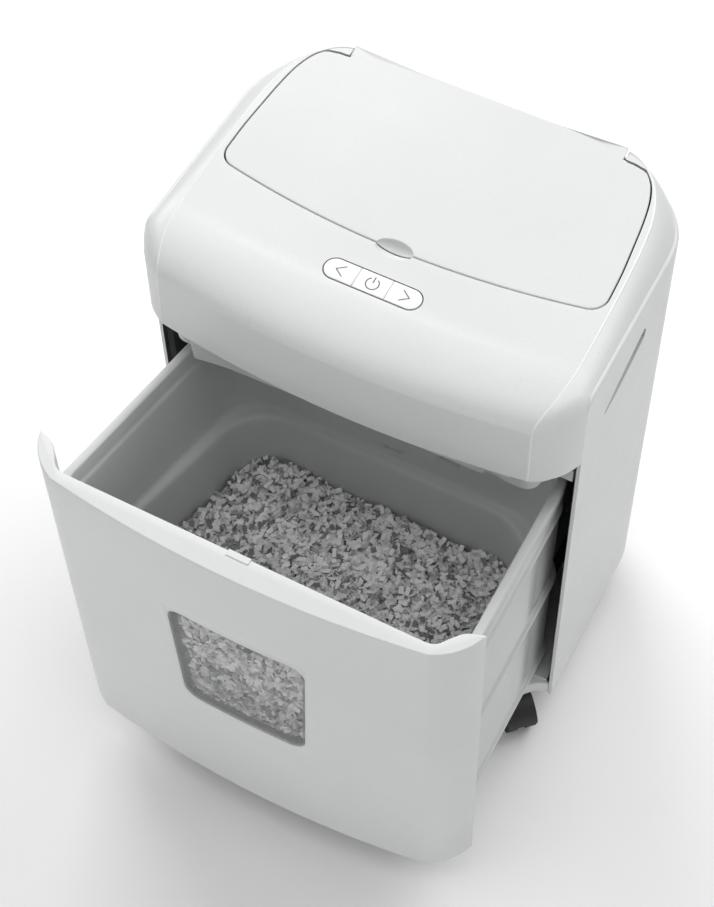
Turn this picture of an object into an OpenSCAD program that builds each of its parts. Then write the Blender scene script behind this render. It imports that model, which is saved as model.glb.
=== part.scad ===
// Auto-feed paper shredder with a hinged lid over its paper bay, three keys,
// a pull-out waste bin with a window, and four swivel casters.
// Origin: on the floor, centred under the box of the machine with its bin drawn out.
// +Z up, the bin opens towards -Y.

/* [Body] */
// Width over the side walls
body_w = 360; // [350:1:370]
// Depth from the front of the bowed panel to the back, bin closed
body_d = 257; // [254:1:262]
// Thickness of the cabinet walls
wall = 6; // [5:0.5:6.5]
// Radius of the two rear corners, seen from above
corner_r = 66; // [60:1:70]
// How far the front bows out at the middle
bow = 12; // [10:1:13]
// Height of the cabinet's side walls
side_h = 434; // [432:1:436]

/* [Head] */
// Height of the head's lower front edge above the cabinet floor
head_rise = 365; // [364:1:366]
// Thickness of the head cover
skin = 3; // [2.5:0.5:3.5]
// Gap round the lid
lid_gap = 0.8; // [0.6:0.1:1.2]
// Length of the row of keys
keys_l = 78; // [74:1:80]
// Width of the row of keys
keys_w = 17.6; // [16:0.2:19]

/* [Bin] */
// How far the bin is drawn out
drawer_out = 154; // [154:1:154]
// Height of the bin's rim above the cabinet floor
rim_rise = 312; // [308:1:314]
// Thickness of the bin's walls
bin_wall = 2.5; // [2:0.5:3]
// Height of the paper shreds above the cabinet floor
shred_rise = 140; // [120:5:160]

/* [Cutter] */
// Distance between the two cutter shafts
cutter_gap = 26; // [26:1:26]
// Radius of the cutting discs
disc_r = 15; // [14.5:0.1:15]
// Thickness of a cutting disc
disc_t = 3.4; // [3:0.1:3.4]
// Distance between two discs on one shaft
disc_pitch = 8; // [8:1:8]
// Discs on each shaft
disc_count = 36; // [30:1:36]

/* [Casters] */
// Height of the cabinet floor's underside above the ground
caster_h = 50; // [50:1:50]
// Radius of a caster wheel
wheel_r = 20; // [19:0.5:20]
// Distance from the swivel axis to the axle
trail = 16; // [14:1:17]

/* [Hidden] */
$fn = 48;
eps = 0.01;

// Planes of the body
half_w = body_w / 2;
back_y = (body_d + drawer_out) / 2;
apex_y = back_y - body_d;
cheek_d = 31.5;
side_y = apex_y + bow + cheek_d;
floor_z = caster_h;
head_z = floor_z + head_rise;
side_top = floor_z + side_h;
corner_x = half_w - corner_r;
corner_y = back_y - corner_r;

// Plan of the bowed front: a shallow arc between two creases, then a cheek at each side
crease_x = 152;
bow_r = (crease_x * crease_x + bow * bow) / (2 * bow);
cheek_r = 50;
cheek_x = 132.4;
cheek_y = side_y + 14.8;

// Sloping top: height of the lid's plane at a depth y
top_z0 = head_z + 77;
top_y0 = side_y + 25;
top_rise = 0.0743;
function top_z(y) = top_z0 + (y - top_y0) * top_rise;
top_tilt = atan(top_rise);

// Rings that the head's skin is stretched over:
// height, y and x of the crease, y and x where the cheek meets the side
HEAD_RINGS = [
    [head_z, side_y - cheek_d, crease_x, side_y, half_w],
    [head_z + 57, side_y - 29.5, crease_x - 0.5, side_y, half_w],
    [head_z + 66, side_y - 21, crease_x + 3, side_y + 6, half_w - 0.4],
    [head_z + 71.5, side_y - 12, crease_x + 5.5, side_y + 18, half_w - 2.2],
    [head_z + 76, side_y + 8, crease_x + 9, side_y + 30, half_w - 12],
    [head_z + 77, side_y + 25, crease_x + 10, side_y + 50, half_w - 16]
];

// Screws
screw_r = 1.5;
screw_head_r = 3.5;
screw_head_h = 2;

// Lid
hinge_y = back_y - 7;
hinge_z = top_z(hinge_y) - 3.2;
barrel_r = 3;
barrel_half = 113;
lid_pin_r = 1.2;
swing_r = 7.2;
fit_gap = 0.05;
lid_t = 3;
lid_front_y = 48.5;
lid_half_w = 156;

// Paper bay
tray_floor_z = 460;
tray_half_w = 150;
tray_front_y = 58;
tray_back_y = 186;
tray_t = 2.5;

// Gears and shafts
cutter_z = 428;
cutter_mid_y = 115;
shaft_front_y = cutter_mid_y - cutter_gap / 2;
shaft_rear_y = cutter_mid_y + cutter_gap / 2;
core_r = 9;
journal_r = 5;
plate_x = 152;
plate_t = 4;
gear_t = 6;
sync_teeth = 20;
sync_module = cutter_gap / sync_teeth;
feed_teeth = 30;
feed_dist = sync_module * (sync_teeth + feed_teeth) / 2;
feed_angle = 139.7;
feed_y = shaft_front_y + feed_dist * cos(feed_angle);
feed_z = cutter_z + feed_dist * sin(feed_angle);
feed_r = 4;
roller_r = 15.5;
main_teeth = 56;
small_teeth = 14;
idler_teeth = 48;
pinion_teeth = 14;
idler_dist = (main_teeth + small_teeth) / 2;
idler_angle = 192;
idler_y = shaft_front_y + idler_dist * cos(idler_angle);
idler_z = cutter_z + idler_dist * sin(idler_angle);
motor_dist = (idler_teeth + pinion_teeth) / 2;
motor_angle = 175;
motor_y = idler_y + motor_dist * cos(motor_angle);
motor_z = idler_z + motor_dist * sin(motor_angle);
motor_r = 24;
motor_l = 78;
train_x = -(plate_x + plate_t + 2);

// Keys
keys_y = 14.5;
keys_z = top_z(keys_y);
keys_tilt = top_tilt;
key_gap = 0.4;
key_h = 5;

// Drawer
panel_y = apex_y - drawer_out;
panel_z0 = floor_z + 3.5;
panel_h = head_rise - 5;
panel_back = side_y - 23;
rim_z = floor_z + rim_rise;
bin_z0 = floor_z + 22;
bin_front_y = side_y - 22 - drawer_out;
bin_back_y = side_y + 42;
rim_half = 167;
rim_w = 7.5;
rim_skew = 20;
ledge_z = floor_z + 186;
ledge_w = 6;
panel_screw_l = rim_w + ledge_w + 5;
win_z0 = floor_z + 137;
recess_rise = 6;
win_z1 = floor_z + 270;
win_half_top = 58;
win_half_low = 53;
win_r = 13;

// Casters
CASTER_XY = [[141, side_y + 1], [-141, side_y + 1], [138, back_y - 48], [-138, back_y - 48]];
caster_turn = -45;
stem_r = 5.5;

module along_x(x, y, z) {
    translate([x, y, z]) rotate([0, 90, 0]) children();
}

module rounded_box(size, r) {
    translate([r, r, 0])
        linear_extrude(size[2])
            union() {
                square([size[0] - 2 * r, size[1] - 2 * r]);
                translate([-r, 0]) square([size[0], size[1] - 2 * r]);
                translate([0, -r]) square([size[0] - 2 * r, size[1]]);
                for (x = [0, size[0] - 2 * r], y = [0, size[1] - 2 * r])
                    translate([x, y]) circle(r);
            }
}

// Spur gear with involute teeth, one of them centred on +X, axis along +Z
module spur_gear(teeth, m, thick, bore_r) {
    pitch_r = teeth * m / 2;
    base_r = pitch_r * cos(20);
    root_r = pitch_r - 1.05 * m;
    tip_r = pitch_r + 0.8 * m;
    slack = 0.08 * m;
    function involute(r) = r <= base_r ? 0 : tan(acos(base_r / r)) * 180 / PI - acos(base_r / r);
    half = 90 / teeth - slack / pitch_r * 180 / PI + involute(pitch_r);
    radii = [for (t = [0:0.25:1]) root_r - 0.2 * m + t * (tip_r - root_r + 0.2 * m)];
    flank = [for (r = radii) let (a = half - involute(r)) [r * cos(a), r * sin(a)]];
    difference() {
        linear_extrude(thick) {
            circle(root_r, $fn = 96);
            for (i = [0:teeth - 1])
                rotate(i * 360 / teeth)
                    polygon(concat([for (p = flank) [p[0], -p[1]]],
                                   [for (i = [len(flank) - 1:-1:0]) flank[i]]));
        }
        translate([0, 0, -eps]) cylinder(r = bore_r, h = thick + 2 * eps);
    }
}

// Plan of the cabinet behind the front: straight sides and round rear corners
module body_plan(inset, front = side_y) {
    w = half_w - inset;
    r = corner_r - inset;
    translate([-w, front]) square([2 * w, corner_y - front]);
    translate([-corner_x, corner_y - 1]) square([2 * corner_x, r + 1]);
    for (s = [-1, 1]) translate([s * corner_x, corner_y]) circle(r, $fn = 96);
}

// Plan of the bowed front with its cheeks, forward of the side walls
module front_plan(inset) {
    intersection() {
        translate([0, apex_y + bow_r]) circle(bow_r - inset, $fn = 720);
        union() {
            translate([-crease_x, apex_y]) square([2 * crease_x, side_y - apex_y]);
            for (s = [-1, 1])
                intersection() {
                    translate([s * cheek_x, cheek_y]) circle(cheek_r - inset, $fn = 180);
                    translate([s * (half_w + crease_x - 40) / 2 - 34, apex_y])
                        square([68, side_y - apex_y]);
                }
        }
    }
}

// Side view of the cabinet's walls: the front top corner slopes back
module wall_profile(grow) {
    bend = 22;
    translate([-half_w - 1, 0, 0]) rotate([90, 0, 90]) linear_extrude(body_w + 2) {
        translate([side_y + bend, floor_z - 1]) square([body_d, side_h + 1 + grow]);
        translate([side_y - grow, floor_z - 1]) square([body_d, side_h + 1 - bend]);
        translate([side_y + bend, side_top - bend]) circle(bend + grow, $fn = 96);
    }
}

// ---- Cabinet ----
grip_l = 66;
grip_h = 20;
grip_depth = 3.9;
grip_y = 64.5;
grip_z = floor_z + 387;

module vent_rows(z, rows, cols) {
    for (r = [0:rows - 1], c = [0:cols - 1])
        translate([(c - (cols - 1) / 2) * 18 - 6, back_y - wall - 1, z + r * 8])
            cube([12, wall + 2, 3]);
}

module cabinet_shell() {
    color("gainsboro") difference() {
        intersection() {
            translate([0, 0, floor_z]) linear_extrude(side_h) body_plan(0);
            wall_profile(0);
        }
        translate([0, 0, floor_z - 1]) linear_extrude(side_h + 2)
            difference() {
                body_plan(wall, side_y - 1);
                translate([-half_w, side_y - 2]) square([8, 4]);
                translate([half_w - 8, side_y - 2]) square([8, 4]);
            }
        // finger grips, cut in from the sides as slanting pockets
        for (s = [-1, 1])
            translate([s * (half_w - grip_depth / 2), grip_y, grip_z])
                rotate([-4, 0, 0])
                    cube([grip_depth + eps, grip_l, grip_h], center = true);
        vent_rows(floor_z + 370, 5, 9);
        // openings for the mains inlet and the switch
        translate([-116, back_y - wall - 1, floor_z + 336]) cube([28, wall + 2, 21]);
        translate([-76, back_y - wall - 1, floor_z + 336]) cube([20, wall + 2, 21]);
        // countersinks and bores for the back screws
        at_back_screws() {
            cylinder(r = screw_head_r + fit_gap, h = screw_head_h + 0.6);
            cylinder(r = screw_r + fit_gap, h = wall + 3);
        }
    }
}

pocket_half = 120;

module base_plate() {
    plate_h = 18;
    color("gainsboro") difference() {
        translate([0, 0, floor_z]) linear_extrude(plate_h) {
            body_plan(wall + 0.4, side_y + 2.4);
            translate([-140, side_y - 6]) square([280, 14]);
        }
        // lightening pocket, open at the top
        translate([-pocket_half, side_y + 24, floor_z + skin])
            rounded_box([2 * pocket_half, 150, plate_h], 12);
        for (p = CASTER_XY) translate([p[0], p[1], floor_z - 1]) cylinder(r = 9, h = 16);
    }
}

module bin_rails() {
    color("dimgray") for (s = [-1, 1])
        translate([s * 134 - 4, side_y + 6, floor_z + 18]) rounded_box([8, 180, 3.7], 2);
}

// ---- Head ----
// One ring of the head: bowed front, a cheek at each side, round rear corners
module head_ring(ring, inset) {
    n = 16;
    crease = [ring[2] - inset, ring[1] + inset];
    side = [ring[4] - inset, ring[3] + inset];
    bend = [side[0] - 0.25 * (side[0] - crease[0]), crease[1] + 0.29 * (side[1] - crease[1])];
    rear_r = corner_r - inset;
    rear_c = [side[0] - rear_r, corner_y];
    front = [for (i = [-n:n]) [crease[0] * i / n, crease[1] - bow * (1 - pow(i / n, 2))]];
    function cheek(s) = [for (t = [0.2:0.2:1]) let (p = pow(1 - t, 2) * crease
                         + 2 * t * (1 - t) * bend + pow(t, 2) * side) [s * p[0], p[1]]];
    function rear(s) = [for (a = [0:10:90]) [s * (rear_c[0] + rear_r * cos(a)),
                                             rear_c[1] + rear_r * sin(a)]];
    function flip(pts) = [for (i = [len(pts) - 1:-1:0]) pts[i]];
    linear_extrude(eps) polygon(concat(front, cheek(1), rear(1), flip(rear(-1)), flip(cheek(-1))));
}

// Closed block of the head, shrunk by a skin's thickness and cut by the sloping top
module head_block(inset) {
    crest_r = 46;
    crest_x = crease_x - 4 - crest_r;
    crest_z = head_z + 97;
    intersection() {
        hull() {
            for (ring = HEAD_RINGS)
                translate([0, 0, ring[0] - (ring[0] == head_z ? 0 : inset)]) head_ring(ring, inset);
            translate([0, 0, crest_z - inset]) linear_extrude(eps)
                for (s = [-1, 1])
                    translate([s * crest_x, back_y - crest_r]) circle(crest_r - inset, $fn = 64);
        }
        top_slab(-200, -inset);
    }
}

// Outline of the lid: bowed front, sides that close in towards the back, stepped rear corners
module lid_outline(gap) {
    w0 = lid_half_w + gap;
    front_r = 14;
    n = 12;
    front_pts = [for (i = [-n:n]) let (x = (w0 - front_r) * i / n)
                 [x, lid_front_y - gap + 15 * pow(x / w0, 2)]];
    corner_c = [w0 - front_r + 0.5, lid_front_y - gap + 15 * pow((w0 - front_r) / w0, 2) + front_r];
    function arc(s) = [for (a = [-80:20:0]) [s * (corner_c[0] + front_r * cos(a)),
                                               corner_c[1] + front_r * sin(a)]];
    function rear(s) = [[s * (w0 - 4), 120], [s * (w0 - 8.5), 165], [s * (w0 - 12), 178],
                        [s * (w0 - 17), 187 + gap], [s * (w0 - 21), 191.5 + 1.3 * gap],
                        [s * (w0 - 30), 194 + 1.5 * gap], [s * (barrel_half + 2 + gap), 195 + 1.5 * gap],
                        [s * (barrel_half + 2 + gap), back_y - 1.3 + 4 * gap]];
    function flip(pts) = [for (i = [len(pts) - 1:-1:0]) pts[i]];
    polygon(concat(front_pts, arc(1), rear(1), flip(rear(-1)), flip(arc(-1))));
}

// Slab between two planes parallel to the sloping top, from low to high above it
module top_slab(low, high) {
    translate([0, top_y0, top_z0]) rotate([top_tilt, 0, 0])
        translate([-half_w - 1, -90, low]) cube([body_w + 2, 320, high - low]);
}

module finger_notch(grow) {
    translate([0, lid_front_y - 1, top_z(lid_front_y)])
        scale([1, 0.52, 0.4]) sphere(15 + grow, $fn = 48);
}

module pill(l, w, h) {
    linear_extrude(h) {
        square([l - w, w], center = true);
        for (s = [-1, 1]) translate([s * (l - w) / 2, 0]) circle(w / 2);
    }
}

module at_keys() {
    translate([0, keys_y, keys_z]) rotate([keys_tilt, 0, 0]) children();
}

module head_cover() {
    color("whitesmoke") difference() {
        difference() {
            head_block(0);
            finger_notch(0);
        }
        difference() {
            head_block(skin);
            // dish behind the finger notch
            finger_notch(1.6);
            // bosses that hold the lid's pins
            for (s = [-1, 1]) along_x(s * (barrel_half + 8.5) - 5, hinge_y, hinge_z)
                cylinder(r = 5.5, h = 10);
        }
        // behind the front it ends on top of the side walls
        wall_profile(0.3);
        translate([0, 0, head_z - 1]) linear_extrude(4) front_plan(skin);
        // lid opening
        translate([0, 0, head_z + 40]) linear_extrude(80) lid_outline(lid_gap);
        // hinge barrel's trough
        along_x(-barrel_half - 3.5, hinge_y, hinge_z) cylinder(r = swing_r, h = 2 * barrel_half + 7);
        translate([-barrel_half - 3.5, hinge_y, hinge_z - swing_r])
            cube([2 * barrel_half + 7, 30, 40]);
        along_x(-half_w, hinge_y, hinge_z) cylinder(r = lid_pin_r, h = body_w);
        at_keys() translate([0, 0, -12]) pill(keys_l + 2.4, keys_w + 2.4, 24);
    }
}

skirt_z = floor_z + 332;
skirt_half = half_w - wall;
skirt_y0 = side_y - 19;
skirt_y1 = back_y - wall - 2;
skirt_x = 154;

module head_chassis() {
    h = 14;
    color("darkgray") difference() {
        union() {
            // pan across the cabinet, and its narrower front apron under the head's lip
            translate([-skirt_half, side_y + 3, skirt_z])
                rounded_box([2 * skirt_half, skirt_y1 - side_y - 3, h], 60);
            translate([-skirt_half, side_y + 3, skirt_z]) cube([2 * skirt_half, 80, h]);
            translate([-skirt_x, skirt_y0, skirt_z]) rounded_box([2 * skirt_x, 60, h], 12);
            translate([-skirt_x + 12, skirt_y0, skirt_z])
                cube([2 * (skirt_x - 12), skin, head_z - skirt_z + 8]);
        }
        translate([-skirt_half + skin, side_y + 3 + skin, skirt_z + skin])
            cube([2 * (skirt_half - skin), 80, h]);
        translate([-skirt_half + skin, side_y + 3 + skin, skirt_z + skin])
            rounded_box([2 * (skirt_half - skin), skirt_y1 - side_y - 3 - 2 * skin, h], 57);
        translate([-skirt_x + skin, skirt_y0 + skin, skirt_z + skin])
            rounded_box([2 * (skirt_x - skin), 54, h], 9);
        // outfeed under the cutters
        translate([-148, cutter_mid_y - 34, skirt_z - 1]) cube([296, 68, 6]);
        // room for the mains inlet and the switch
        translate([-118, back_y - 23, skirt_z - 1]) cube([64, 20, h + 2]);
        // steps along the apron's lower edge
        for (x = [-120:30:120]) translate([x - 6, skirt_y0 - 1, skirt_z - 1]) cube([12, 8, 3]);
    }
}

module tray_shell(grow) {
    translate([-tray_half_w - grow, tray_front_y - grow, tray_floor_z - grow])
        rounded_box([2 * (tray_half_w + grow), tray_back_y - tray_front_y + 2 * grow, 60], 8 + grow);
}

module paper_tray() {
    color("silver") difference() {
        // shell, trimmed where the cover slopes down at its rear corners
        intersection() {
            tray_shell(tray_t);
            head_block(skin + 0.6);
        }
        tray_shell(0);
        top_slab(-lid_t - 5, 60);
        finger_notch(2);
        // windows for the pick-up rollers, and the feed slot behind them
        for (x = [-90, -30, 30, 90]) translate([x - 11, feed_y - 15, tray_floor_z - 4]) cube([22, 30, 8]);
        translate([-146, cutter_mid_y - 5, tray_floor_z - 4]) cube([292, 10, 8]);
        // room for the lid's swinging rear edge and the cover's pin bosses
        along_x(-barrel_half - 15, hinge_y, hinge_z) cylinder(r = swing_r + 0.5, h = 2 * barrel_half + 30);
    }
}

module lid() {
    color("whitesmoke") difference() {
        union() {
            difference() {
                translate([0, 0, head_z + 40]) linear_extrude(80) lid_outline(0);
                top_slab(-120, -lid_t);
                top_slab(0, 120);
            }
            // hinge barrel along the back edge
            along_x(-barrel_half, hinge_y, hinge_z) cylinder(r = barrel_r, h = 2 * barrel_half);
            // ears that carry the pressure plate
            for (s = [-1, 1])
                translate([s * 124 - 2, 152, 478]) cube([4, 14, top_z(158) - lid_t + 1 - 478]);
        }
        along_x(-barrel_half - 4, hinge_y, hinge_z)
            cylinder(r = lid_pin_r + fit_gap, h = 2 * barrel_half + 8);
        along_x(-140, 159, 482) cylinder(r = 1.5, h = 280);
        // chamfer under the rear edges outside the barrel, so that they swing clear
        for (s = [-1, 1])
            translate([s > 0 ? barrel_half + 1.2 : -lid_half_w, 0, 0]) rotate([90, 0, 90])
                linear_extrude(lid_half_w - barrel_half - 1.2)
                    polygon([[189, top_z(189) - lid_t - 2], [189, top_z(189) - lid_t],
                             [196, top_z(196) - 0.2],
                             [198, top_z(196) - 0.2], [198, top_z(189) - lid_t - 2]]);
    }
}

module lid_pins() {
    color("silver") for (s = [-1, 1])
        along_x(s * (barrel_half + 2) - 11, hinge_y, hinge_z) cylinder(r = lid_pin_r, h = 22);
}

module pressure_plate() {
    color("gray") difference() {
        union() {
            translate([-118, 72, 473]) cube([236, 94, 2]);
            for (s = [-1, 1]) translate([s * 117 - 3, 154, 473]) cube([6, 10, 12]);
            for (y = [80, 110, 140]) translate([-112, y, 475]) cube([224, 1.6, 3]);
        }
        along_x(-140, 159, 482) cylinder(r = 1.5 + fit_gap, h = 280);
    }
}

module pressure_pins() {
    color("silver") for (s = [-1, 1]) along_x(s * 120 - 6, 159, 482) cylinder(r = 1.5, h = 12);
}

module pressure_springs() {
    color("silver") for (s = [-1, 1])
        translate([s * 60, 92, 475])
            difference() {
                cylinder(r = 5, h = top_z(92) - lid_t - 475.4 - 0.5);
                translate([0, 0, -1]) cylinder(r = 4, h = 40);
            }
}

// ---- Keys ----
module key_bezel() {
    color("dimgray") at_keys() difference() {
        translate([0, 0, -10]) pill(keys_l + 2.3, keys_w + 2.3, 10.2);
        translate([0, 0, -11]) pill(keys_l + 0.8, keys_w + 0.8, 12);
    }
}

module key_row_piece(x0, x1) {
    at_keys() intersection() {
        translate([0, 0, 0.5 - key_h]) pill(keys_l, keys_w, key_h);
        translate([x0, -keys_w, -key_h]) cube([x1 - x0, 2 * keys_w, 2 * key_h]);
    }
}

key_split = keys_l / 6;
module key_reverse() { color("white") key_row_piece(-keys_l, -key_split - key_gap / 2); }
module key_power() { color("white") key_row_piece(-key_split + key_gap / 2, key_split - key_gap / 2); }
module key_forward() { color("white") key_row_piece(key_split + key_gap / 2, keys_l); }

module key_pad() {
    color("gray") at_keys() translate([0, 0, -8.5]) {
        pill(keys_l - 2, keys_w - 2, 1.2);
        for (x = [-26, 0, 26]) translate([x, 0, 1.2]) cylinder(r1 = 4, r2 = 3, h = 1);
    }
}

module control_board() {
    color("darkgreen") at_keys() translate([-46, -14, -12.2]) cube([92, 28, 1.6]);
}

// ---- Cutter ----
module cutter(y, offset, x0, x1) {
    first = -(disc_count - 1) * disc_pitch / 2;
    difference() {
        union() {
            along_x(-plate_x + 0.5, y, cutter_z) cylinder(r = core_r, h = 2 * plate_x - 1);
            along_x(x0, y, cutter_z) cylinder(r = journal_r, h = x1 - x0);
            for (i = [0:disc_count - 1])
                along_x(first + i * disc_pitch + offset - disc_t / 2, y, cutter_z)
                    cylinder(r = disc_r, h = disc_t);
        }
        // grooves that give the discs their cross-cutting teeth
        for (a = [30, 150, 270])
            translate([-plate_x + 3, y, cutter_z]) rotate([a, 0, 0])
                translate([0, disc_r - 2.2, -1]) cube([2 * plate_x - 6, 4, 2]);
    }
}

module cutter_front() { color("slategray") cutter(shaft_front_y, -2, -plate_x - 20, plate_x + 14); }
module cutter_rear() { color("slategray") cutter(shaft_rear_y, 2, -plate_x - 5, plate_x + 14); }

// Bars beside the cutters, with a finger between every two discs
module stripper_combs() {
    first = -(disc_count - 1) * disc_pitch / 2;
    color("dimgray") for (s = [-1, 1])
        translate([0, cutter_mid_y + s * 33, cutter_z]) {
            translate([-plate_x, -3, -15]) cube([2 * plate_x, 6, 18]);
            for (i = [0:disc_count - 2])
                translate([first + (i + 0.5) * disc_pitch + s * 2 - 1.6, s < 0 ? 0 : -10.4, -4])
                    cube([3.2, 10.4, 6]);
        }
}

module side_plate(x, front) {
    bottom = skirt_z + skin;
    color("silver") difference() {
        translate([x, front, bottom]) cube([plate_t, cutter_mid_y + 40 - front, tray_floor_z - 3 - bottom]);
        for (y = [shaft_front_y, shaft_rear_y])
            along_x(x - 1, y, cutter_z) cylinder(r = journal_r + 2, h = plate_t + 2);
        along_x(x - 1, feed_y, feed_z) cylinder(r = feed_r + fit_gap, h = plate_t + 2);
        for (p = TIE_YZ) along_x(x - 1, p[0], p[1]) cylinder(r = 3, h = plate_t + 2);
        if (x < 0) {
            along_x(x - 1, idler_y, idler_z) cylinder(r = 3, h = plate_t + 2);
            along_x(x - 1, motor_y, motor_z) cylinder(r = 8, h = plate_t + 2);
        }
    }
}

TIE_YZ = [[cutter_mid_y - 52, cutter_z - 20], [cutter_mid_y + 34, cutter_z - 20],
          [cutter_mid_y + 34, cutter_z + 18]];

module side_plate_left() { side_plate(-plate_x - plate_t, 10); }
module side_plate_right() { side_plate(plate_x, 53); }

module tie_rods() {
    color("silver") for (p = TIE_YZ)
        along_x(-plate_x - plate_t, p[0], p[1]) cylinder(r = 3, h = 2 * (plate_x + plate_t));
}

module cutter_bushes() {
    color("peru") for (s = [-1, 1], y = [shaft_front_y, shaft_rear_y])
        along_x(s * (plate_x + plate_t / 2) - plate_t / 2, y, cutter_z) difference() {
            cylinder(r = journal_r + 2, h = plate_t);
            translate([0, 0, -1]) cylinder(r = journal_r + fit_gap, h = plate_t + 2);
        }
}

module sync_gear(y, turn) {
    color("lightslategray") along_x(plate_x + plate_t + 2, y, cutter_z) rotate(turn)
        spur_gear(sync_teeth, sync_module, gear_t, journal_r);
}

module sync_gear_front() { sync_gear(shaft_front_y, 0); }
module sync_gear_rear() { sync_gear(shaft_rear_y, 180 / sync_teeth); }

module feed_shaft() {
    color("silver") along_x(-plate_x - plate_t - 2, feed_y, feed_z)
        cylinder(r = feed_r, h = 2 * (plate_x + plate_t) + 12);
}

module feed_rollers() {
    color("dimgray") for (x = [-90, -30, 30, 90])
        along_x(x - 9, feed_y, feed_z) difference() {
            cylinder(r = roller_r, h = 18);
            translate([0, 0, -1]) cylinder(r = feed_r, h = 20);
        }
}

module feed_gear() {
    color("ivory") along_x(plate_x + plate_t + 2, feed_y, feed_z)
        rotate(feed_mesh) spur_gear(feed_teeth, sync_module, gear_t, feed_r);
}

module main_gear() {
    color("ivory") along_x(train_x - 2 * gear_t - 1, shaft_front_y, cutter_z)
        spur_gear(main_teeth, 1, gear_t, journal_r);
}

module idler_gear() {
    color("ivory") along_x(train_x - 2 * gear_t - 1, idler_y, idler_z) {
        rotate(idler_mesh_small) spur_gear(small_teeth, 1, gear_t, 3 + fit_gap);
        translate([0, 0, gear_t]) rotate(idler_mesh_large) spur_gear(idler_teeth, 1, gear_t, 3 + fit_gap);
    }
}

module idler_pin() {
    color("silver") along_x(train_x - 2 * gear_t - 2, idler_y, idler_z) cylinder(r = 3, h = 20);
}

module motor_pinion() {
    color("slategray") along_x(train_x - gear_t - 1, motor_y, motor_z)
        rotate(pinion_mesh) spur_gear(pinion_teeth, 1, gear_t, 2.5);
}

// Turns that put the teeth in mesh: a tooth of one gear faces a gap of the other.
// In the gears' own plane, seen along +X, an angle of a runs from -Z towards +Y.
function plane_angle(dy, dz) = atan2(dy, -dz);
function mesh_turn(angle, teeth, other_turn, other_teeth) =
    angle + 180 + 180 / teeth + (angle - other_turn) * other_teeth / teeth;
feed_mesh = mesh_turn(plane_angle(feed_y - shaft_front_y, feed_z - cutter_z), feed_teeth, 0, sync_teeth);
idler_mesh_small = mesh_turn(plane_angle(idler_y - shaft_front_y, idler_z - cutter_z),
                             small_teeth, 0, main_teeth);
idler_mesh_large = 0;
pinion_mesh = mesh_turn(plane_angle(motor_y - idler_y, motor_z - idler_z),
                        pinion_teeth, idler_mesh_large, idler_teeth);

module motor_can() {
    color("darkgray") along_x(-plate_x + 1, motor_y, motor_z) difference() {
        union() {
            cylinder(r = motor_r, h = motor_l);
            translate([0, 0, -5]) cylinder(r = 7.8, h = 6);
            translate([0, 0, motor_l]) cylinder(r = 8, h = 4);
        }
        translate([0, 0, -6]) cylinder(r = 2.5 + fit_gap, h = motor_l + 12);
    }
}

module motor_shaft() {
    color("silver") along_x(-plate_x - plate_t - 10, motor_y, motor_z) cylinder(r = 2.5, h = motor_l + 30);
}

module motor_fan() {
    color("dimgray") along_x(-plate_x + motor_l + 7, motor_y, motor_z) difference() {
        union() {
            cylinder(r = 6, h = 7);
            for (a = [0:45:315]) rotate([0, 0, a]) translate([4, -0.8, 0]) cube([17, 1.6, 7]);
        }
        translate([0, 0, -1]) cylinder(r = 2.5, h = 9);
    }
}

module power_board() {
    color("darkgreen") {
        translate([20, 2, 391]) cube([110, 46, 1.6]);
        for (x = [25, 125], y = [7, 43]) translate([x, y, skirt_z + skin]) cylinder(r = 2.5, h = 7);
        translate([30, 12, 392]) rounded_box([22, 26, 20], 1.5);
        translate([75, 25, 392]) cylinder(r = 8, h = 22);
        translate([95, 15, 392]) cube([18, 14, 15]);
    }
}

module bin_switch() {
    color("black") translate([134, side_y + 8, skirt_z + skin]) cube([20, 7, 12]);
}

module mains_inlet() {
    color("black") difference() {
        translate([-115.8, back_y - 20, floor_z + 336.2]) cube([27.6, 20.6, 20.6]);
        translate([-112, back_y - 14, floor_z + 339]) cube([20, 15, 15]);
    }
    color("silver") for (x = [-107, -102, -97])
        translate([x - 1, back_y - 14.5, floor_z + 343]) cube([2, 10, 4]);
}

module rocker_frame() {
    color("black") difference() {
        translate([-75.8, back_y - 16, floor_z + 336.2]) cube([19.6, 17, 20.6]);
        translate([-73.5, back_y - 12, floor_z + 338]) cube([15, 14, 17]);
        along_x(-77, back_y - 5, floor_z + 346.5) cylinder(r = 1, h = 22);
    }
}

module rocker_switch() {
    color("firebrick") {
        along_x(-73, back_y - 5, floor_z + 346.5)
            intersection() {
                cylinder(r = 7.6, h = 14);
                translate([-8, -3, -1]) cube([16, 9, 16]);
            }
        along_x(-75.4, back_y - 5, floor_z + 346.5) cylinder(r = 0.95, h = 18.8);
    }
}

// ---- Bin ----
module window_shape(grow, x_grow = 0) {
    w1 = win_half_top + grow;
    w0 = win_half_low + grow;
    h = win_z1 - win_z0 + 2 * grow;
    offset(r = win_r) offset(delta = -win_r)
        polygon([[-w0, -grow], [w0, -grow], [w1, h - grow], [-w1, h - grow]]);
}

module through_window(grow) {
    translate([0, panel_y + 40, win_z0]) rotate([90, 0, 0]) linear_extrude(60) window_shape(grow);
}

module panel_plan() {
    difference() {
        translate([0, -drawer_out]) front_plan(0);
        translate([-150, panel_back - drawer_out]) square([300, 80]);
        for (s = [-1, 1])
            intersection() {
                translate([s * (cheek_x - 6), cheek_y - drawer_out]) circle(cheek_r - 6, $fn = 120);
                translate([s * 200 - 51, panel_y]) square([102, 80]);
            }
    }
}

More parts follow.
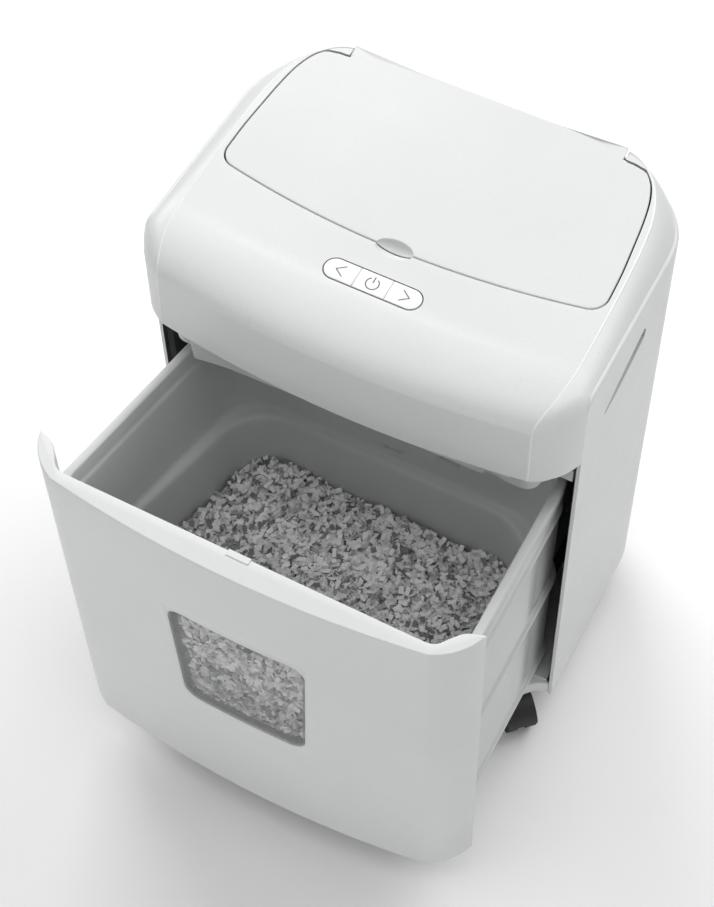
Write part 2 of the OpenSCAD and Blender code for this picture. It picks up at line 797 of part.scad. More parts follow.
module drawer_panel() {
    color("whitesmoke") difference() {
        union() {
            translate([0, 0, panel_z0]) linear_extrude(panel_h) panel_plan();
            translate([-9, panel_back - drawer_out - 8, panel_z0 + panel_h - eps]) cube([18, 5, 1]);
        }
        // room for the tub, and bores for its screws
        tub_layer(panel_z0 - 1, panel_z0 + panel_h + 1, -0.4);
        at_panel_screws() cylinder(r = screw_r + fit_gap, h = panel_screw_l + 0.4);
        // hollow behind the front skin, closed by the rim at the top
        translate([0, 0, panel_z0 - 1]) linear_extrude(panel_h - 2)
            intersection() {
                difference() {
                    translate([0, -drawer_out]) front_plan(3.5);
                    translate([0, -drawer_out - 40]) front_plan(0);
                }
                translate([-140, panel_y]) square([280, panel_back - apex_y - 3]);
            }
        through_window(0);
    }
}

// Clear pane, with a rim that reaches back to the tub
module window_pane() {
    rim_t = 1.6;
    color("lightcyan", 0.4) difference() {
        intersection() {
            through_window(-0.3);
            translate([-half_w, -drawer_out - 40, panel_z0]) cube([body_w, panel_back + 45, panel_h]);
            translate([0, 0, panel_z0]) linear_extrude(panel_h)
                translate([0, apex_y + bow_r - drawer_out]) circle(bow_r - 1.2, $fn = 720);
        }
        intersection() {
            through_window(-0.3 - rim_t);
            translate([0, 0, panel_z0]) linear_extrude(panel_h)
                translate([0, apex_y + bow_r - drawer_out]) circle(bow_r - 3, $fn = 720);
        }
    }
}

// Plan of the tub: the left wall runs inwards to the back, beside the gear case
module tub_plan(inset) {
    front = bin_front_y + inset;
    back = bin_back_y - inset;
    front_r = 24 - inset / 2;
    back_r = 30 - inset / 2;
    right = rim_half - inset;
    left_f = -rim_half - 3 + inset;
    left_b = -rim_half + rim_skew + inset;
    hull() {
        translate([right - front_r, front + front_r]) circle(front_r);
        translate([left_f + front_r, front + front_r]) circle(front_r);
        translate([right - back_r, back - back_r]) circle(back_r);
        translate([left_b + back_r, back - back_r]) circle(back_r);
    }
}

module tub_layer(z0, z1, inset) {
    translate([0, 0, z0]) linear_extrude(z1 - z0) tub_plan(inset);
}

module bin_tub() {
    outer = rim_w - bin_wall;
    color("gainsboro") difference() {
        union() {
            // upper part, narrower lower part, rim and ribs
            tub_layer(ledge_z - bin_wall, rim_z, outer);
            tub_layer(bin_z0, ledge_z, outer + ledge_w);
            tub_layer(rim_z - 4, rim_z, 0.5);
            for (z = [floor_z + 156, floor_z + 268]) tub_layer(z, z + 3, 1);
        }
        tub_layer(ledge_z, rim_z + 1, rim_w);
        tub_layer(bin_z0 + bin_wall, ledge_z + 1, rim_w + ledge_w);
        through_window(4);
        at_panel_screws() cylinder(r = screw_r + fit_gap, h = 40);
    }
}

// Heap of shreds: a crust, open underneath, that also fills the window's recess
module paper_shreds() {
    crust = 3;
    low = bin_z0 + bin_wall + 0.2;
    top = floor_z + shred_rise;
    color("silver") {
        difference() {
            tub_layer(low, top, rim_w + ledge_w + 0.6);
            tub_layer(low - 1, top - crust, rim_w + ledge_w + 0.6 + crust);
            at_panel_screws() translate([0, 0, -screw_head_h - 0.4])
                cylinder(r = screw_head_r + 0.4, h = screw_head_h + 1);
        }
        intersection() {
            through_window(-2.2);
            translate([-win_half_low, bin_front_y - 11, top - crust])
                cube([2 * win_half_low, 40, crust + recess_rise]);
        }
    }
}

// ---- Casters ----
module at_caster(i) {
    translate([CASTER_XY[i][0], CASTER_XY[i][1], 0]) rotate([0, 0, caster_turn]) children();
}

module caster_sockets() {
    color("dimgray") for (i = [0:3]) at_caster(i) difference() {
        union() {
            translate([0, 0, floor_z - 1]) cylinder(r = 9, h = 16);
            translate([0, 0, floor_z - 2.5]) cylinder(r = 13, h = 2.5);
        }
        translate([0, 0, floor_z - 3]) cylinder(r = stem_r + fit_gap, h = 16);
    }
}

module caster_hood(i) {
    color("black") at_caster(i) difference() {
        union() {
            translate([0, 0, 36]) cylinder(r = stem_r, h = caster_h - 26);
            translate([0, 0, 40]) cylinder(r = 10, h = 6.5);
            translate([trail, 3, wheel_r]) rotate([90, 0, 0]) cylinder(r = wheel_r - 3, h = 6);
            translate([trail, 13, wheel_r]) rotate([90, 0, 0]) cylinder(r = wheel_r + 2.5, h = 26);
            translate([0, -3, 30]) cube([trail, 6, 14]);
        }
        for (s = [-1, 1])
            translate([trail, s * 9 + 6, wheel_r]) rotate([90, 0, 0]) cylinder(r = wheel_r + 1, h = 12);
        translate([trail - 40, -30, -10]) cube([80, 60, 22]);
        translate([trail + 2, -30, -10]) cube([40, 60, 34]);
        translate([trail, 14, wheel_r]) rotate([90, 0, 0]) cylinder(r = 3 + fit_gap, h = 30);
    }
}

module caster_wheels(i) {
    color("black") at_caster(i) for (s = [-1, 1])
        translate([trail, s * 8.5 + 4.5, wheel_r]) rotate([90, 0, 0]) difference() {
            cylinder(r = wheel_r, h = 9);
            translate([0, 0, -1]) cylinder(r = 3, h = 11);
        }
}

module caster_axle(i) {
    color("silver") at_caster(i) translate([trail, 12.5, wheel_r]) rotate([90, 0, 0])
        cylinder(r = 3, h = 25);
}

module caster_hood_fr() { caster_hood(0); }
module caster_hood_fl() { caster_hood(1); }
module caster_hood_rr() { caster_hood(2); }
module caster_hood_rl() { caster_hood(3); }
module caster_wheels_fr() { caster_wheels(0); }
module caster_wheels_fl() { caster_wheels(1); }
module caster_wheels_rr() { caster_wheels(2); }
module caster_wheels_rl() { caster_wheels(3); }
module caster_axle_fr() { caster_axle(0); }
module caster_axle_fl() { caster_axle(1); }
module caster_axle_rr() { caster_axle(2); }
module caster_axle_rl() { caster_axle(3); }

// ---- Fasteners ----
module at_panel_screws() {
    for (s = [-1, 1], z = [floor_z + 100, floor_z + 250])
        translate([s * 100, bin_front_y + rim_w + (z < ledge_z ? ledge_w : 0), z])
            rotate([90, 0, 0]) children();
}

module panel_screws() {
    color("silver") at_panel_screws() {
        cylinder(r = screw_r, h = panel_screw_l);
        translate([0, 0, -screw_head_h]) cylinder(r = screw_head_r, h = screw_head_h);
    }
}

module at_back_screws() {
    for (s = [-1, 1], z = [floor_z + 30, floor_z + 200, floor_z + 420])
        translate([s * 105, back_y + 0.6, z]) rotate([90, 0, 0]) children();
}

module back_screws() {
    color("silver") at_back_screws() {
        cylinder(r = screw_head_r, h = screw_head_h);
        cylinder(r = screw_r, h = wall + 2);
    }
}

cabinet_shell();
base_plate();
bin_rails();
head_cover();
head_chassis();
paper_tray();
lid();
lid_pins();
pressure_plate();
pressure_pins();
pressure_springs();
key_bezel();
key_reverse();
key_power();
key_forward();
key_pad();
control_board();
cutter_front();
cutter_rear();
stripper_combs();
side_plate_left();
side_plate_right();
tie_rods();
cutter_bushes();
sync_gear_front();
sync_gear_rear();
feed_shaft();
feed_rollers();
feed_gear();
main_gear();
idler_gear();
idler_pin();
motor_pinion();
motor_can();
motor_shaft();
motor_fan();
power_board();
bin_switch();
mains_inlet();
rocker_frame();
rocker_switch();
drawer_panel();
bin_tub();
window_pane();
paper_shreds();
caster_sockets();
caster_hood_fr();
caster_hood_fl();
caster_hood_rr();
caster_hood_rl();
caster_wheels_fr();
caster_wheels_fl();
caster_wheels_rr();
caster_wheels_rl();
caster_axle_fr();
caster_axle_fl();
caster_axle_rr();
caster_axle_rl();
panel_screws();
back_screws();
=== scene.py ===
"""Paper shredder with its waste bin drawn out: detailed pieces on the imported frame.

Lengths in this file are millimetres in the row's own frame; make() turns them into metres.
"""
import math
import random

import bmesh
import bpy
import numpy as np
from mathutils import Matrix, Quaternion, Vector


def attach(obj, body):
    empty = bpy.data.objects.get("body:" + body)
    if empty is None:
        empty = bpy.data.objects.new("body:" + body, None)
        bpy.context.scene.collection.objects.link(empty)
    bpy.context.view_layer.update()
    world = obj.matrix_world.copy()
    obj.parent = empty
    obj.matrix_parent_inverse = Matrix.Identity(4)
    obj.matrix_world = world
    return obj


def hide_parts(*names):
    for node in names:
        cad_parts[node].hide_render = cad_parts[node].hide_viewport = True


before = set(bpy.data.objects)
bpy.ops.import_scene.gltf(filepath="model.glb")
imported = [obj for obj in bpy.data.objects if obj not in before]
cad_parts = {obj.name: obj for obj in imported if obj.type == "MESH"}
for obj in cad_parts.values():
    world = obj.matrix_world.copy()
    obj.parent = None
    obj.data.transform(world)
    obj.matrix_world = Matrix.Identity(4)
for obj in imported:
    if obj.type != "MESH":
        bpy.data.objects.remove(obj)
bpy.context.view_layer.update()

MM = 0.001
X, Y, Z = (1, 0, 0), (0, 1, 0), (0, 0, 1)
BACK_Y, APEX_Y, SIDE_Y = 205.5, -51.5, -8.0
HALF_W, FLOOR_Z, HEAD_Z, SIDE_TOP = 180.0, 50.0, 415.0, 486.0
OUT = 154.0
SKIN, LID_T, BARREL_HALF, LID_HALF_W = 2.8, 3.0, 113.0, 156.3
KEYS_L, KEYS_W = 78.0, 17.6
DISH, DISH_Y = (15.0, 8.2, 6.2), 48.2
SIDE_BEND = 11.0
CREASE_X, BOW = 152.0, 12.0
BOW_R = (CREASE_X ** 2 + BOW ** 2) / (2 * BOW)
CHEEK = (132.4, SIDE_Y + 14.8, 50.0)
CORNER = (114.0, BACK_Y - 66.0, 66.0)
TOP_Y0, TOP_Z0, TOP_RISE = 17.0, 492.0, 0.0743
HINGE_Y = BACK_Y - 7
HINGE_Z = TOP_Z0 + (HINGE_Y - TOP_Y0) * TOP_RISE - 3.2
PANEL_Z0, PANEL_Z1 = 53.5, 413.5
BIN_Z, RIM_Z = 72.0, 362.0


def top_z(y):
    return TOP_Z0 + (y - TOP_Y0) * TOP_RISE


# ---------------------------------------------------------------- materials
class Nodes:
    """A short way to build a node tree."""

    def __init__(self, name):
        self.mat = bpy.data.materials.new(name)
        self.mat.use_nodes = True
        self.tree = self.mat.node_tree
        self.tree.nodes.clear()
        self.out = self.add("OutputMaterial")
        self.coord = self.add("TexCoord").outputs["Object"]

    def add(self, kind, **values):
        node = self.tree.nodes.new("ShaderNode" + kind)
        for key, value in values.items():
            if key in node.inputs:
                node.inputs[key].default_value = value
            else:
                setattr(node, key, value)
        return node

    def link(self, a, b):
        self.tree.links.new(a, b)

    def noise(self, scale, detail=2.0, rough=0.5, stretch=None):
        node = self.add("TexNoise", Scale=scale, Detail=detail, Roughness=rough)
        if stretch:
            mapping = self.add("Mapping")
            mapping.inputs["Scale"].default_value = stretch
            self.link(self.coord, mapping.inputs["Vector"])
            self.link(mapping.outputs["Vector"], node.inputs["Vector"])
        else:
            self.link(self.coord, node.inputs["Vector"])
        return node.outputs["Fac"]

    def span(self, value, low, high, out_low, out_high):
        node = self.add("MapRange")
        node.inputs["From Min"].default_value = low
        node.inputs["From Max"].default_value = high
        node.inputs["To Min"].default_value = out_low
        node.inputs["To Max"].default_value = out_high
        self.link(value, node.inputs["Value"])
        return node.outputs["Result"]

    def mix(self, factor, a, b, mode="MIX"):
        node = self.add("Mix", data_type="RGBA", blend_type=mode)
        for socket, value in ((node.inputs[0], factor), (node.inputs[6], a), (node.inputs[7], b)):
            if isinstance(value, bpy.types.NodeSocket):
                self.link(value, socket)
            elif isinstance(value, (int, float)):
                socket.default_value = value
            else:
                socket.default_value = (*value, 1.0)
        return node.outputs[2]


def tone(color, k):
    return tuple(min(1.0, c * k) for c in color)


def plastic(name, color, rough=0.4, spread=0.05, grain=0.12, grain_scale=1900, var=0.03, edge=0.12, coat=0.0):
    """Moulded plastic: soft colour drift, fine spark-eroded grain, uneven gloss, convex edges made a little
    lighter.
    """
    n = Nodes(name)
    shader = n.add("BsdfPrincipled")
    drift = n.span(n.noise(5, 3), 0.3, 0.7, 0, 1)
    base = n.mix(drift, tone(color, 1 - var), tone(color, 1 + var))
    speck = n.span(n.noise(420, 4, 0.7), 0.56, 0.74, 0, 1)
    base = n.mix(speck, base, tone(color, 1 - 2.2 * var))
    geometry = n.add("NewGeometry")
    # convex edges (high pointiness) are mixed towards a lighter tone
    edge_lift = n.span(geometry.outputs["Pointiness"], 0.52, 0.6, 0, edge)
    base = n.mix(edge_lift, base, tone(color, 1.25))
    n.link(base, shader.inputs["Base Color"])
    n.link(n.span(n.noise(60, 4, 0.6), 0.3, 0.7, rough - spread, rough + spread), shader.inputs["Roughness"])
    shader.inputs["IOR"].default_value = 1.46
    shader.inputs["Coat Weight"].default_value = coat
    bump = n.add("Bump", Strength=grain, Distance=0.0003)
    n.link(n.noise(grain_scale, 2), bump.inputs["Height"])
    wave = n.add("Bump", Strength=0.06, Distance=0.002)
    n.link(n.noise(14, 1), wave.inputs["Height"])
    n.link(bump.outputs["Normal"], wave.inputs["Normal"])
    n.link(wave.outputs["Normal"], shader.inputs["Normal"])
    n.link(shader.outputs[0], n.out.inputs["Surface"])
    return n.mat


def metal(name, color, rough=0.3, stretch=(1, 1, 1), scale=300, bump_strength=0.1, stain=0.15):
    """Drawn or ground metal: streaks along one way, faint stains."""
    n = Nodes(name)
    shader = n.add("BsdfPrincipled", Metallic=1.0)
    streak = n.noise(scale, 4, 0.6, stretch)
    stains = n.span(n.noise(40, 4, 0.6), 0.5, 0.75, 0, 1)
    base = n.mix(n.span(streak, 0.3, 0.7, 0, 1), tone(color, 0.88), tone(color, 1.08))
    base = n.mix(stains, base, tone(color, 1 - stain))
    n.link(base, shader.inputs["Base Color"])
    n.link(n.span(streak, 0.3, 0.7, rough - 0.08, rough + 0.1), shader.inputs["Roughness"])
    bump = n.add("Bump", Strength=bump_strength, Distance=0.0003)
    n.link(streak, bump.inputs["Height"])
    n.link(bump.outputs["Normal"], shader.inputs["Normal"])
    n.link(shader.outputs[0], n.out.inputs["Surface"])
    return n.mat


def clear_plastic(name, color, alpha, rough):
    """Thin clear plastic, lightly hazed and scuffed."""
    n = Nodes(name)
    shader = n.add("BsdfPrincipled")
    haze = n.span(n.noise(35, 4, 0.6), 0.3, 0.7, 0, 1)
    n.link(n.mix(haze, tone(color, 0.94), tone(color, 1.04)), shader.inputs["Base Color"])
    n.link(n.span(haze, 0, 1, rough * 0.7, rough * 1.4), shader.inputs["Roughness"])
    n.link(n.span(n.noise(700, 3, 0.7), 0.35, 0.75, alpha * 0.8, alpha * 1.3), shader.inputs["Alpha"])
    bump = n.add("Bump", Strength=0.05, Distance=0.0005)
    n.link(n.noise(90, 2), bump.inputs["Height"])
    n.link(bump.outputs["Normal"], shader.inputs["Normal"])
    n.link(shader.outputs[0], n.out.inputs["Surface"])
    return n.mat


def paper(name):
    """Office paper: each shred its own grey from the 'shade' attribute, which also paints the mound beneath
    dark grey as painted shade; faint print-grey flecks and fibres.
    """
    n = Nodes(name)
    shader = n.add("BsdfPrincipled", Roughness=0.85)
    shade = n.add("Attribute", attribute_name="shade")
    fibre = n.span(n.noise(2600, 3, 0.7), 0.3, 0.7, 0.9, 1.06)
    fleck = n.span(n.noise(320, 3, 0.6), 0.6, 0.7, 1.0, 0.75)
    mult = n.add("Math", operation="MULTIPLY")
    n.link(fibre, mult.inputs[0])
    n.link(fleck, mult.inputs[1])
    base = n.mix(1.0, shade.outputs["Color"], mult.outputs[0], "MULTIPLY")
    n.link(base, shader.inputs["Base Color"])
    bump = n.add("Bump", Strength=0.25, Distance=0.0003)
    n.link(n.noise(1500, 3), bump.inputs["Height"])
    n.link(bump.outputs["Normal"], shader.inputs["Normal"])
    n.link(shader.outputs[0], n.out.inputs["Surface"])
    return n.mat


M = {
    "white": plastic("white_plastic", (0.69, 0.70, 0.70), rough=0.42),
    "shell": plastic("shell_plastic", (0.69, 0.70, 0.70), rough=0.46, grain=0.16),
    "lid": plastic("lid_plastic", (0.68, 0.69, 0.685), rough=0.44, grain=0.14),
    "tub": plastic("tub_plastic", (0.60, 0.61, 0.61), rough=0.38),
    # darker grey for the walls of the finger grips: painted shade in the recess
    "grip": plastic("grip_recess_painted_shade", (0.47, 0.475, 0.48), rough=0.5, edge=0.0),
    "skirt": plastic("skirt_plastic", (0.58, 0.59, 0.59), rough=0.45),
    "inner": plastic("inner_plastic", (0.085, 0.088, 0.09), rough=0.55, edge=0.3),
    # near black for the inner faces of the cabinet walls: painted shade inside the cabinet
    "wall_inside_shade": plastic("wall_inside_painted_shade", (0.05, 0.052, 0.055), rough=0.6, edge=0.2),
    "dark": plastic("dark_plastic", (0.02, 0.02, 0.022), rough=0.42, edge=0.5, grain=0.2),
    "key": plastic("key_plastic", (0.87, 0.875, 0.88), rough=0.34, grain=0.05, var=0.01, edge=0.05),
    "icon": plastic("icon_ink", (0.13, 0.135, 0.14), rough=0.5, grain=0.1, edge=0.0),
    # lighter white for the crease beads: a painted highlight along the crease
    "bead": plastic("bead_painted_highlight", (0.78, 0.785, 0.785), rough=0.34, grain=0.05, edge=0.0),
    "groove": plastic("groove_plastic", (0.06, 0.062, 0.065), rough=0.5),
    "tyre": plastic("tread_rubber", (0.018, 0.018, 0.019), rough=0.62, grain=0.35, grain_scale=1200,
                    edge=0.4),
    "roller": plastic("roller_rubber", (0.045, 0.045, 0.048), rough=0.75, grain=0.45, grain_scale=900),
    "nylon": plastic("gear_nylon", (0.74, 0.72, 0.63), rough=0.4, var=0.05),
    "board": plastic("board_laminate", (0.015, 0.11, 0.04), rough=0.35, var=0.15),
    "red": plastic("switch_plastic", (0.42, 0.02, 0.015), rough=0.22, grain=0.03, coat=0.3),
    "steel": metal("bare_steel", (0.55, 0.56, 0.57), stretch=(0.05, 1, 1)),
    "ground": metal("ground_steel", (0.36, 0.37, 0.38), rough=0.34, stretch=(1, 0.1, 0.1), scale=500),
    "bright": metal("screw_steel", (0.68, 0.68, 0.68), rough=0.2, scale=700),
    "brass": metal("bush_brass", (0.72, 0.52, 0.24), rough=0.3, scale=400),
    "pane": clear_plastic("window_plastic", (0.55, 0.56, 0.57), 0.16, 0.07),
    "pane_rim": clear_plastic("window_rim_plastic", (0.42, 0.425, 0.43), 0.4, 0.14),
    "paper": paper("shredded_paper"),
}


# ---------------------------------------------------------------- mesh helpers
def make(name, verts, faces, mats, body, hides=(), slot=None, angle=32, merge=1e-5, face_mats=None, flip=None,
         weld=True):
    """A mesh piece from millimetres, riding on a CAD body and standing for CAD nodes."""
    mesh = bpy.data.meshes.new(name)
    mesh.from_pydata([(v[0] * MM, v[1] * MM, v[2] * MM) for v in verts], [], faces)
    for mat in mats:
        mesh.materials.append(M[mat])
    if face_mats is not None:
        mesh.polygons.foreach_set("material_index", face_mats)
    if weld:
        bm = bmesh.new()
        bm.from_mesh(mesh)
        bmesh.ops.remove_doubles(bm, verts=bm.verts, dist=merge)
        bmesh.ops.recalc_face_normals(bm, faces=bm.faces)
        if flip is not None:
            centre = Vector(flip) * MM
            score = sum((f.calc_center_median() - centre).dot(f.normal) * f.calc_area() for f in bm.faces)
            if score < 0:
                bmesh.ops.reverse_faces(bm, faces=bm.faces)
        bm.to_mesh(mesh)
        bm.free()
    mesh.shade_smooth()
    mesh.set_sharp_from_angle(angle=math.radians(angle))
    piece = bpy.data.objects.new(name, mesh)
    bpy.context.scene.collection.objects.link(piece)
    if body:
        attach(piece, body)
        if hides:
            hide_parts(*hides)
    return piece


def bridge(rings, closed=True, cap=(False, False)):
    """Faces between rings of equal length. Returns verts and faces."""
    count = len(rings[0])
    verts = [p for ring in rings for p in ring]
    faces = []
    for i in range(len(rings) - 1):
        for j in range(count if closed else count - 1):
            k = (j + 1) % count
            faces.append((i * count + j, i * count + k, (i + 1) * count + k, (i + 1) * count + j))
    if cap[0]:
        faces.append(tuple(reversed(range(count))))
    if cap[1]:
        faces.append(tuple((len(rings) - 1) * count + j for j in range(count)))
    return verts, faces


def offset(outline, inset):
    """A closed outline moved inwards along its vertex normals."""
    pts = np.array(outline, float)
    prev, nxt = np.roll(pts, 1, 0), np.roll(pts, -1, 0)
    a = pts - prev
    b = nxt - pts
    a /= np.linalg.norm(a, axis=1)[:, None] + 1e-9
    b /= np.linalg.norm(b, axis=1)[:, None] + 1e-9
    na = np.stack([-a[:, 1], a[:, 0]], 1)
    nb = np.stack([-b[:, 1], b[:, 0]], 1)
    n = na + nb
    n /= np.linalg.norm(n, axis=1)[:, None] + 1e-9
    scale = 1 / np.clip((n * na).sum(1), 0.5, 1)
    area = 0.5 * np.sum(pts[:, 0] * nxt[:, 1] - nxt[:, 0] * pts[:, 1])
    return pts + n * (scale * inset * (1 if area > 0 else -1))[:, None]


def arc(cx, cy, r, a0, a1, n):
    """Points on a circle, from one angle to the other in degrees."""
    return [(cx + r * math.cos(math.radians(a0 + (a1 - a0) * i / n)),
             cy + r * math.sin(math.radians(a0 + (a1 - a0) * i / n))) for i in range(n + 1)]


def curve(points, n=6):
    """A smooth open curve through the points."""
    p = np.array([points[0]] + list(points) + [points[-1]], float)
    out = []
    for i in range(1, len(p) - 2):
        for k in range(n):
            t = k / n
            out.append(0.5 * (2 * p[i] + (p[i + 1] - p[i - 1]) * t
                              + (2 * p[i - 1] - 5 * p[i] + 4 * p[i + 1] - p[i + 2]) * t * t
                              + (3 * p[i] - 3 * p[i + 1] + p[i + 2] - p[i - 1]) * t ** 3))
    out.append(p[-2])
    return [tuple(v) for v in out]


def both(half):
    """A closed outline from its right half, from front middle to back middle."""
    left = [(-x, y) for x, y in reversed(half) if abs(x) > 1e-6]
    return list(half) + left


def cutter(name, verts, faces, through=False):
    """A cutting tool. The walls of a through cut are marked, to be opened again."""
    mats = ["white", "dark", "red"]
    return make(name, verts, faces, mats, None, merge=1e-7, face_mats=[2 if through else 0] * len(faces))


def carve(piece, tools):
    """Cuts the tools out of the piece and removes them."""
    for tool in tools:
        mod = piece.modifiers.new("cut", "BOOLEAN")
        mod.operation, mod.solver, mod.object = "DIFFERENCE", "EXACT", tool
        mod.material_mode = "INDEX"
    settle(piece)
    for tool in tools:
        bpy.data.objects.remove(tool)


def even(piece):
    """Large faces keep their own normals."""
    mod = piece.modifiers.new("even_normals", "WEIGHTED_NORMAL")
    mod.weight, mod.keep_sharp = 80, True


def settle(piece):
    """Applies the modifiers to the mesh."""
    graph = bpy.context.evaluated_depsgraph_get()
    mesh = bpy.data.meshes.new_from_object(piece.evaluated_get(graph))
    piece.modifiers.clear()
    piece.data = mesh


def soften(piece, width=0.8, segments=2, angle=40):
    """Rounds the sharp edges."""
    mod = piece.modifiers.new("soft_edges", "BEVEL")
    mod.width, mod.segments = width * MM, segments
    mod.limit_method, mod.angle_limit = "ANGLE", math.radians(angle)
    mod.harden_normals = False


def box_mesh(lo, hi):
    """Verts and faces of a box between two corners."""
    v = [(x, y, z) for x in (lo[0], hi[0]) for y in (lo[1], hi[1]) for z in (lo[2], hi[2])]
    f = [(0, 1, 3, 2), (4, 6, 7, 5), (0, 4, 5, 1), (2, 3, 7, 6), (0, 2, 6, 4), (1, 5, 7, 3)]
    return v, f


def join_mesh(parts):
    """One mesh from several."""
    verts, faces = [], []
    for v, f in parts:
        base = len(verts)
        verts += list(v)
        faces += [tuple(i + base for i in face) for face in f]
    return verts, faces


# ---------------------------------------------------------------- camera, light, floor
def camera():
    az, el, roll = math.radians(27.77), math.radians(52.47), math.radians(-0.18)
    data = bpy.data.cameras.new("camera")
    cam = bpy.data.objects.new("camera", data)
    bpy.context.scene.collection.objects.link(cam)
    back = Vector((math.sin(az) * math.cos(el), -math.cos(az) * math.cos(el), math.sin(el)))
    cam.rotation_mode = "QUATERNION"
    cam.rotation_quaternion = (-back).to_track_quat("-Z", "Y") @ Quaternion((0, 0, 1), roll)
    cam.location = (0.4254, -0.7597, 1.6241)
    data.sensor_width = 36.0
    data.lens = 2005.4 * 36.0 / 907.0
    data.shift_x = (357 - 394.6) / 907
    data.shift_y = (298.6 - 453.5) / 907
    data.clip_end = 50
    bpy.context.scene.camera = cam


def area_light(name, place, target, size, power, color=(1, 1, 1)):
    data = bpy.data.lights.new(name, "AREA")
    data.shape = "RECTANGLE"
    data.size, data.size_y = size
    data.energy, data.color = power, color
    lamp = bpy.data.objects.new(name, data)
    lamp.location = place
    lamp.rotation_mode = "QUATERNION"
    lamp.rotation_quaternion = (Vector(target) - Vector(place)).to_track_quat("-Z", "Y")
    bpy.context.scene.collection.objects.link(lamp)


def studio():
    scene = bpy.context.scene
    scene.view_settings.view_transform = "Standard"
    world = bpy.data.worlds.new("studio")
    scene.world = world
    world.use_nodes = True
    world.node_tree.nodes["Background"].inputs["Color"].default_value = (1, 1, 1, 1)
    world.node_tree.nodes["Background"].inputs["Strength"].default_value = 0.2
    for name, place, size, power in (("key_softbox", (0.9, 1.6, 2.6), (2.2, 1.8), 42),
                                     ("back_softbox", (-1.6, 1.5, 2.2), (1.8, 1.6), 46),
                                     ("front_top_softbox", (0.2, -0.8, 3.2), (3.0, 1.3), 25),
                                     ("left_softbox", (-2.2, -1.6, 1.6), (1.8, 1.6), 9),
                                     ("front_softbox", (0.3, -3.0, 0.35), (2.5, 0.6), 15),
                                     ("right_softbox", (2.6, -0.2, 1.3), (1.6, 1.6), 6)):
        area_light(name, place, (0, 0, 0.3), size, power)
    verts = [(-6000, -6000, 0), (6000, -6000, 0), (6000, 6000, 0), (-6000, 6000, 0)]
    n = Nodes("studio_floor")
    shader = n.add("BsdfPrincipled", Roughness=0.6)
    shader.inputs["Specular IOR Level"].default_value = 0.2
    n.link(n.mix(n.span(n.noise(3, 2), 0.3, 0.7, 0, 1), (0.95, 0.95, 0.95), (0.97, 0.97, 0.97)),
           shader.inputs["Base Color"])
    n.link(shader.outputs[0], n.out.inputs["Surface"])
    mesh = bpy.data.meshes.new("floor")
    mesh.from_pydata([(v[0] * MM, v[1] * MM, 0) for v in verts], [], [(0, 1, 2, 3)])
    mesh.materials.append(n.mat)
    ground = bpy.data.objects.new("floor", mesh)
    scene.collection.objects.link(ground)


# ---------------------------------------------------------------- outlines
def front_half(inset=0.0, soft=1.2, n=22):
    """Right half of the bowed front with its cheek, from the middle to the side wall."""
    r = BOW_R - inset
    limit = CREASE_X - 0.25 * inset
    a = math.asin(limit / r)
    pts = [(r * math.sin(a * i / n), APEX_Y + BOW_R - r * math.cos(a * i / n)) for i in range(n)]
    last = (r * math.sin(a - soft / r), APEX_Y + BOW_R - r * math.cos(a - soft / r))
    pts.append(last)
    cr = CHEEK[2] - inset
    a0 = math.degrees(math.atan2(APEX_Y + BOW_R - r * math.cos(a) - CHEEK[1], limit - CHEEK[0]))
    a1 = math.degrees(math.asin((SIDE_Y - CHEEK[1]) / cr))
    soft_a = math.degrees(soft / cr)
    pts.append((pts[-1][0] + soft * 0.9, pts[-1][1] + soft * 0.3))
    return pts + arc(CHEEK[0], CHEEK[1], cr, a0 + soft_a, a1, 12)


def lid_half(gap=0.0):
    """Right half of the lid's outline, front middle to back middle."""
    w = LID_HALF_W
    corner_r = 14
    front = [(x, 48.5 + 16.5 * (x / w) ** 2 - gap) for x in np.linspace(0, 144.9, 16)]
    corner = arc(w - corner_r, 76.4, corner_r + gap, -78, 0, 8)
    side = curve([(x + gap, y) for x, y in ((w, 77.4), (155.6, 100), (153.6, 124), (151.2, 148), (148, 167),
                                            (143.6, 180), (139.5, 187))], 4)
    notch_x = BARREL_HALF + 2.3 + gap
    rear_y = 204.2 + 3 * gap
    rear = [(136 + gap, 190.8 + 1.3 * gap), (133 + gap, 192.2 + 1.4 * gap), (124, 193.9 + 1.5 * gap),
            (118 + gap, 194.0 + 1.5 * gap), (notch_x, 194.4 + 1.5 * gap), (notch_x, 200),
            (notch_x, rear_y), (60, rear_y), (0, rear_y)]
    return front + corner + side + rear


def body_path(inset, n=20):
    """The cabinet walls' plan from the right front edge round the back to the left front edge."""
    w = HALF_W - inset
    ys = [SIDE_Y + step for step in (0, 0.25, 1, 2.5, 5, 8, 12, 17, 22)] + [40, 70, 100, 125]
    right = [(w, y) for y in ys] + arc(CORNER[0], CORNER[1], CORNER[2] - inset, 0, 90, n)
    back = [(x, BACK_Y - inset) for x in np.linspace(CORNER[0], -CORNER[0], 9)[1:-1]]
    left = [(-x, y) for x, y in reversed(right)]
    return right + back + left


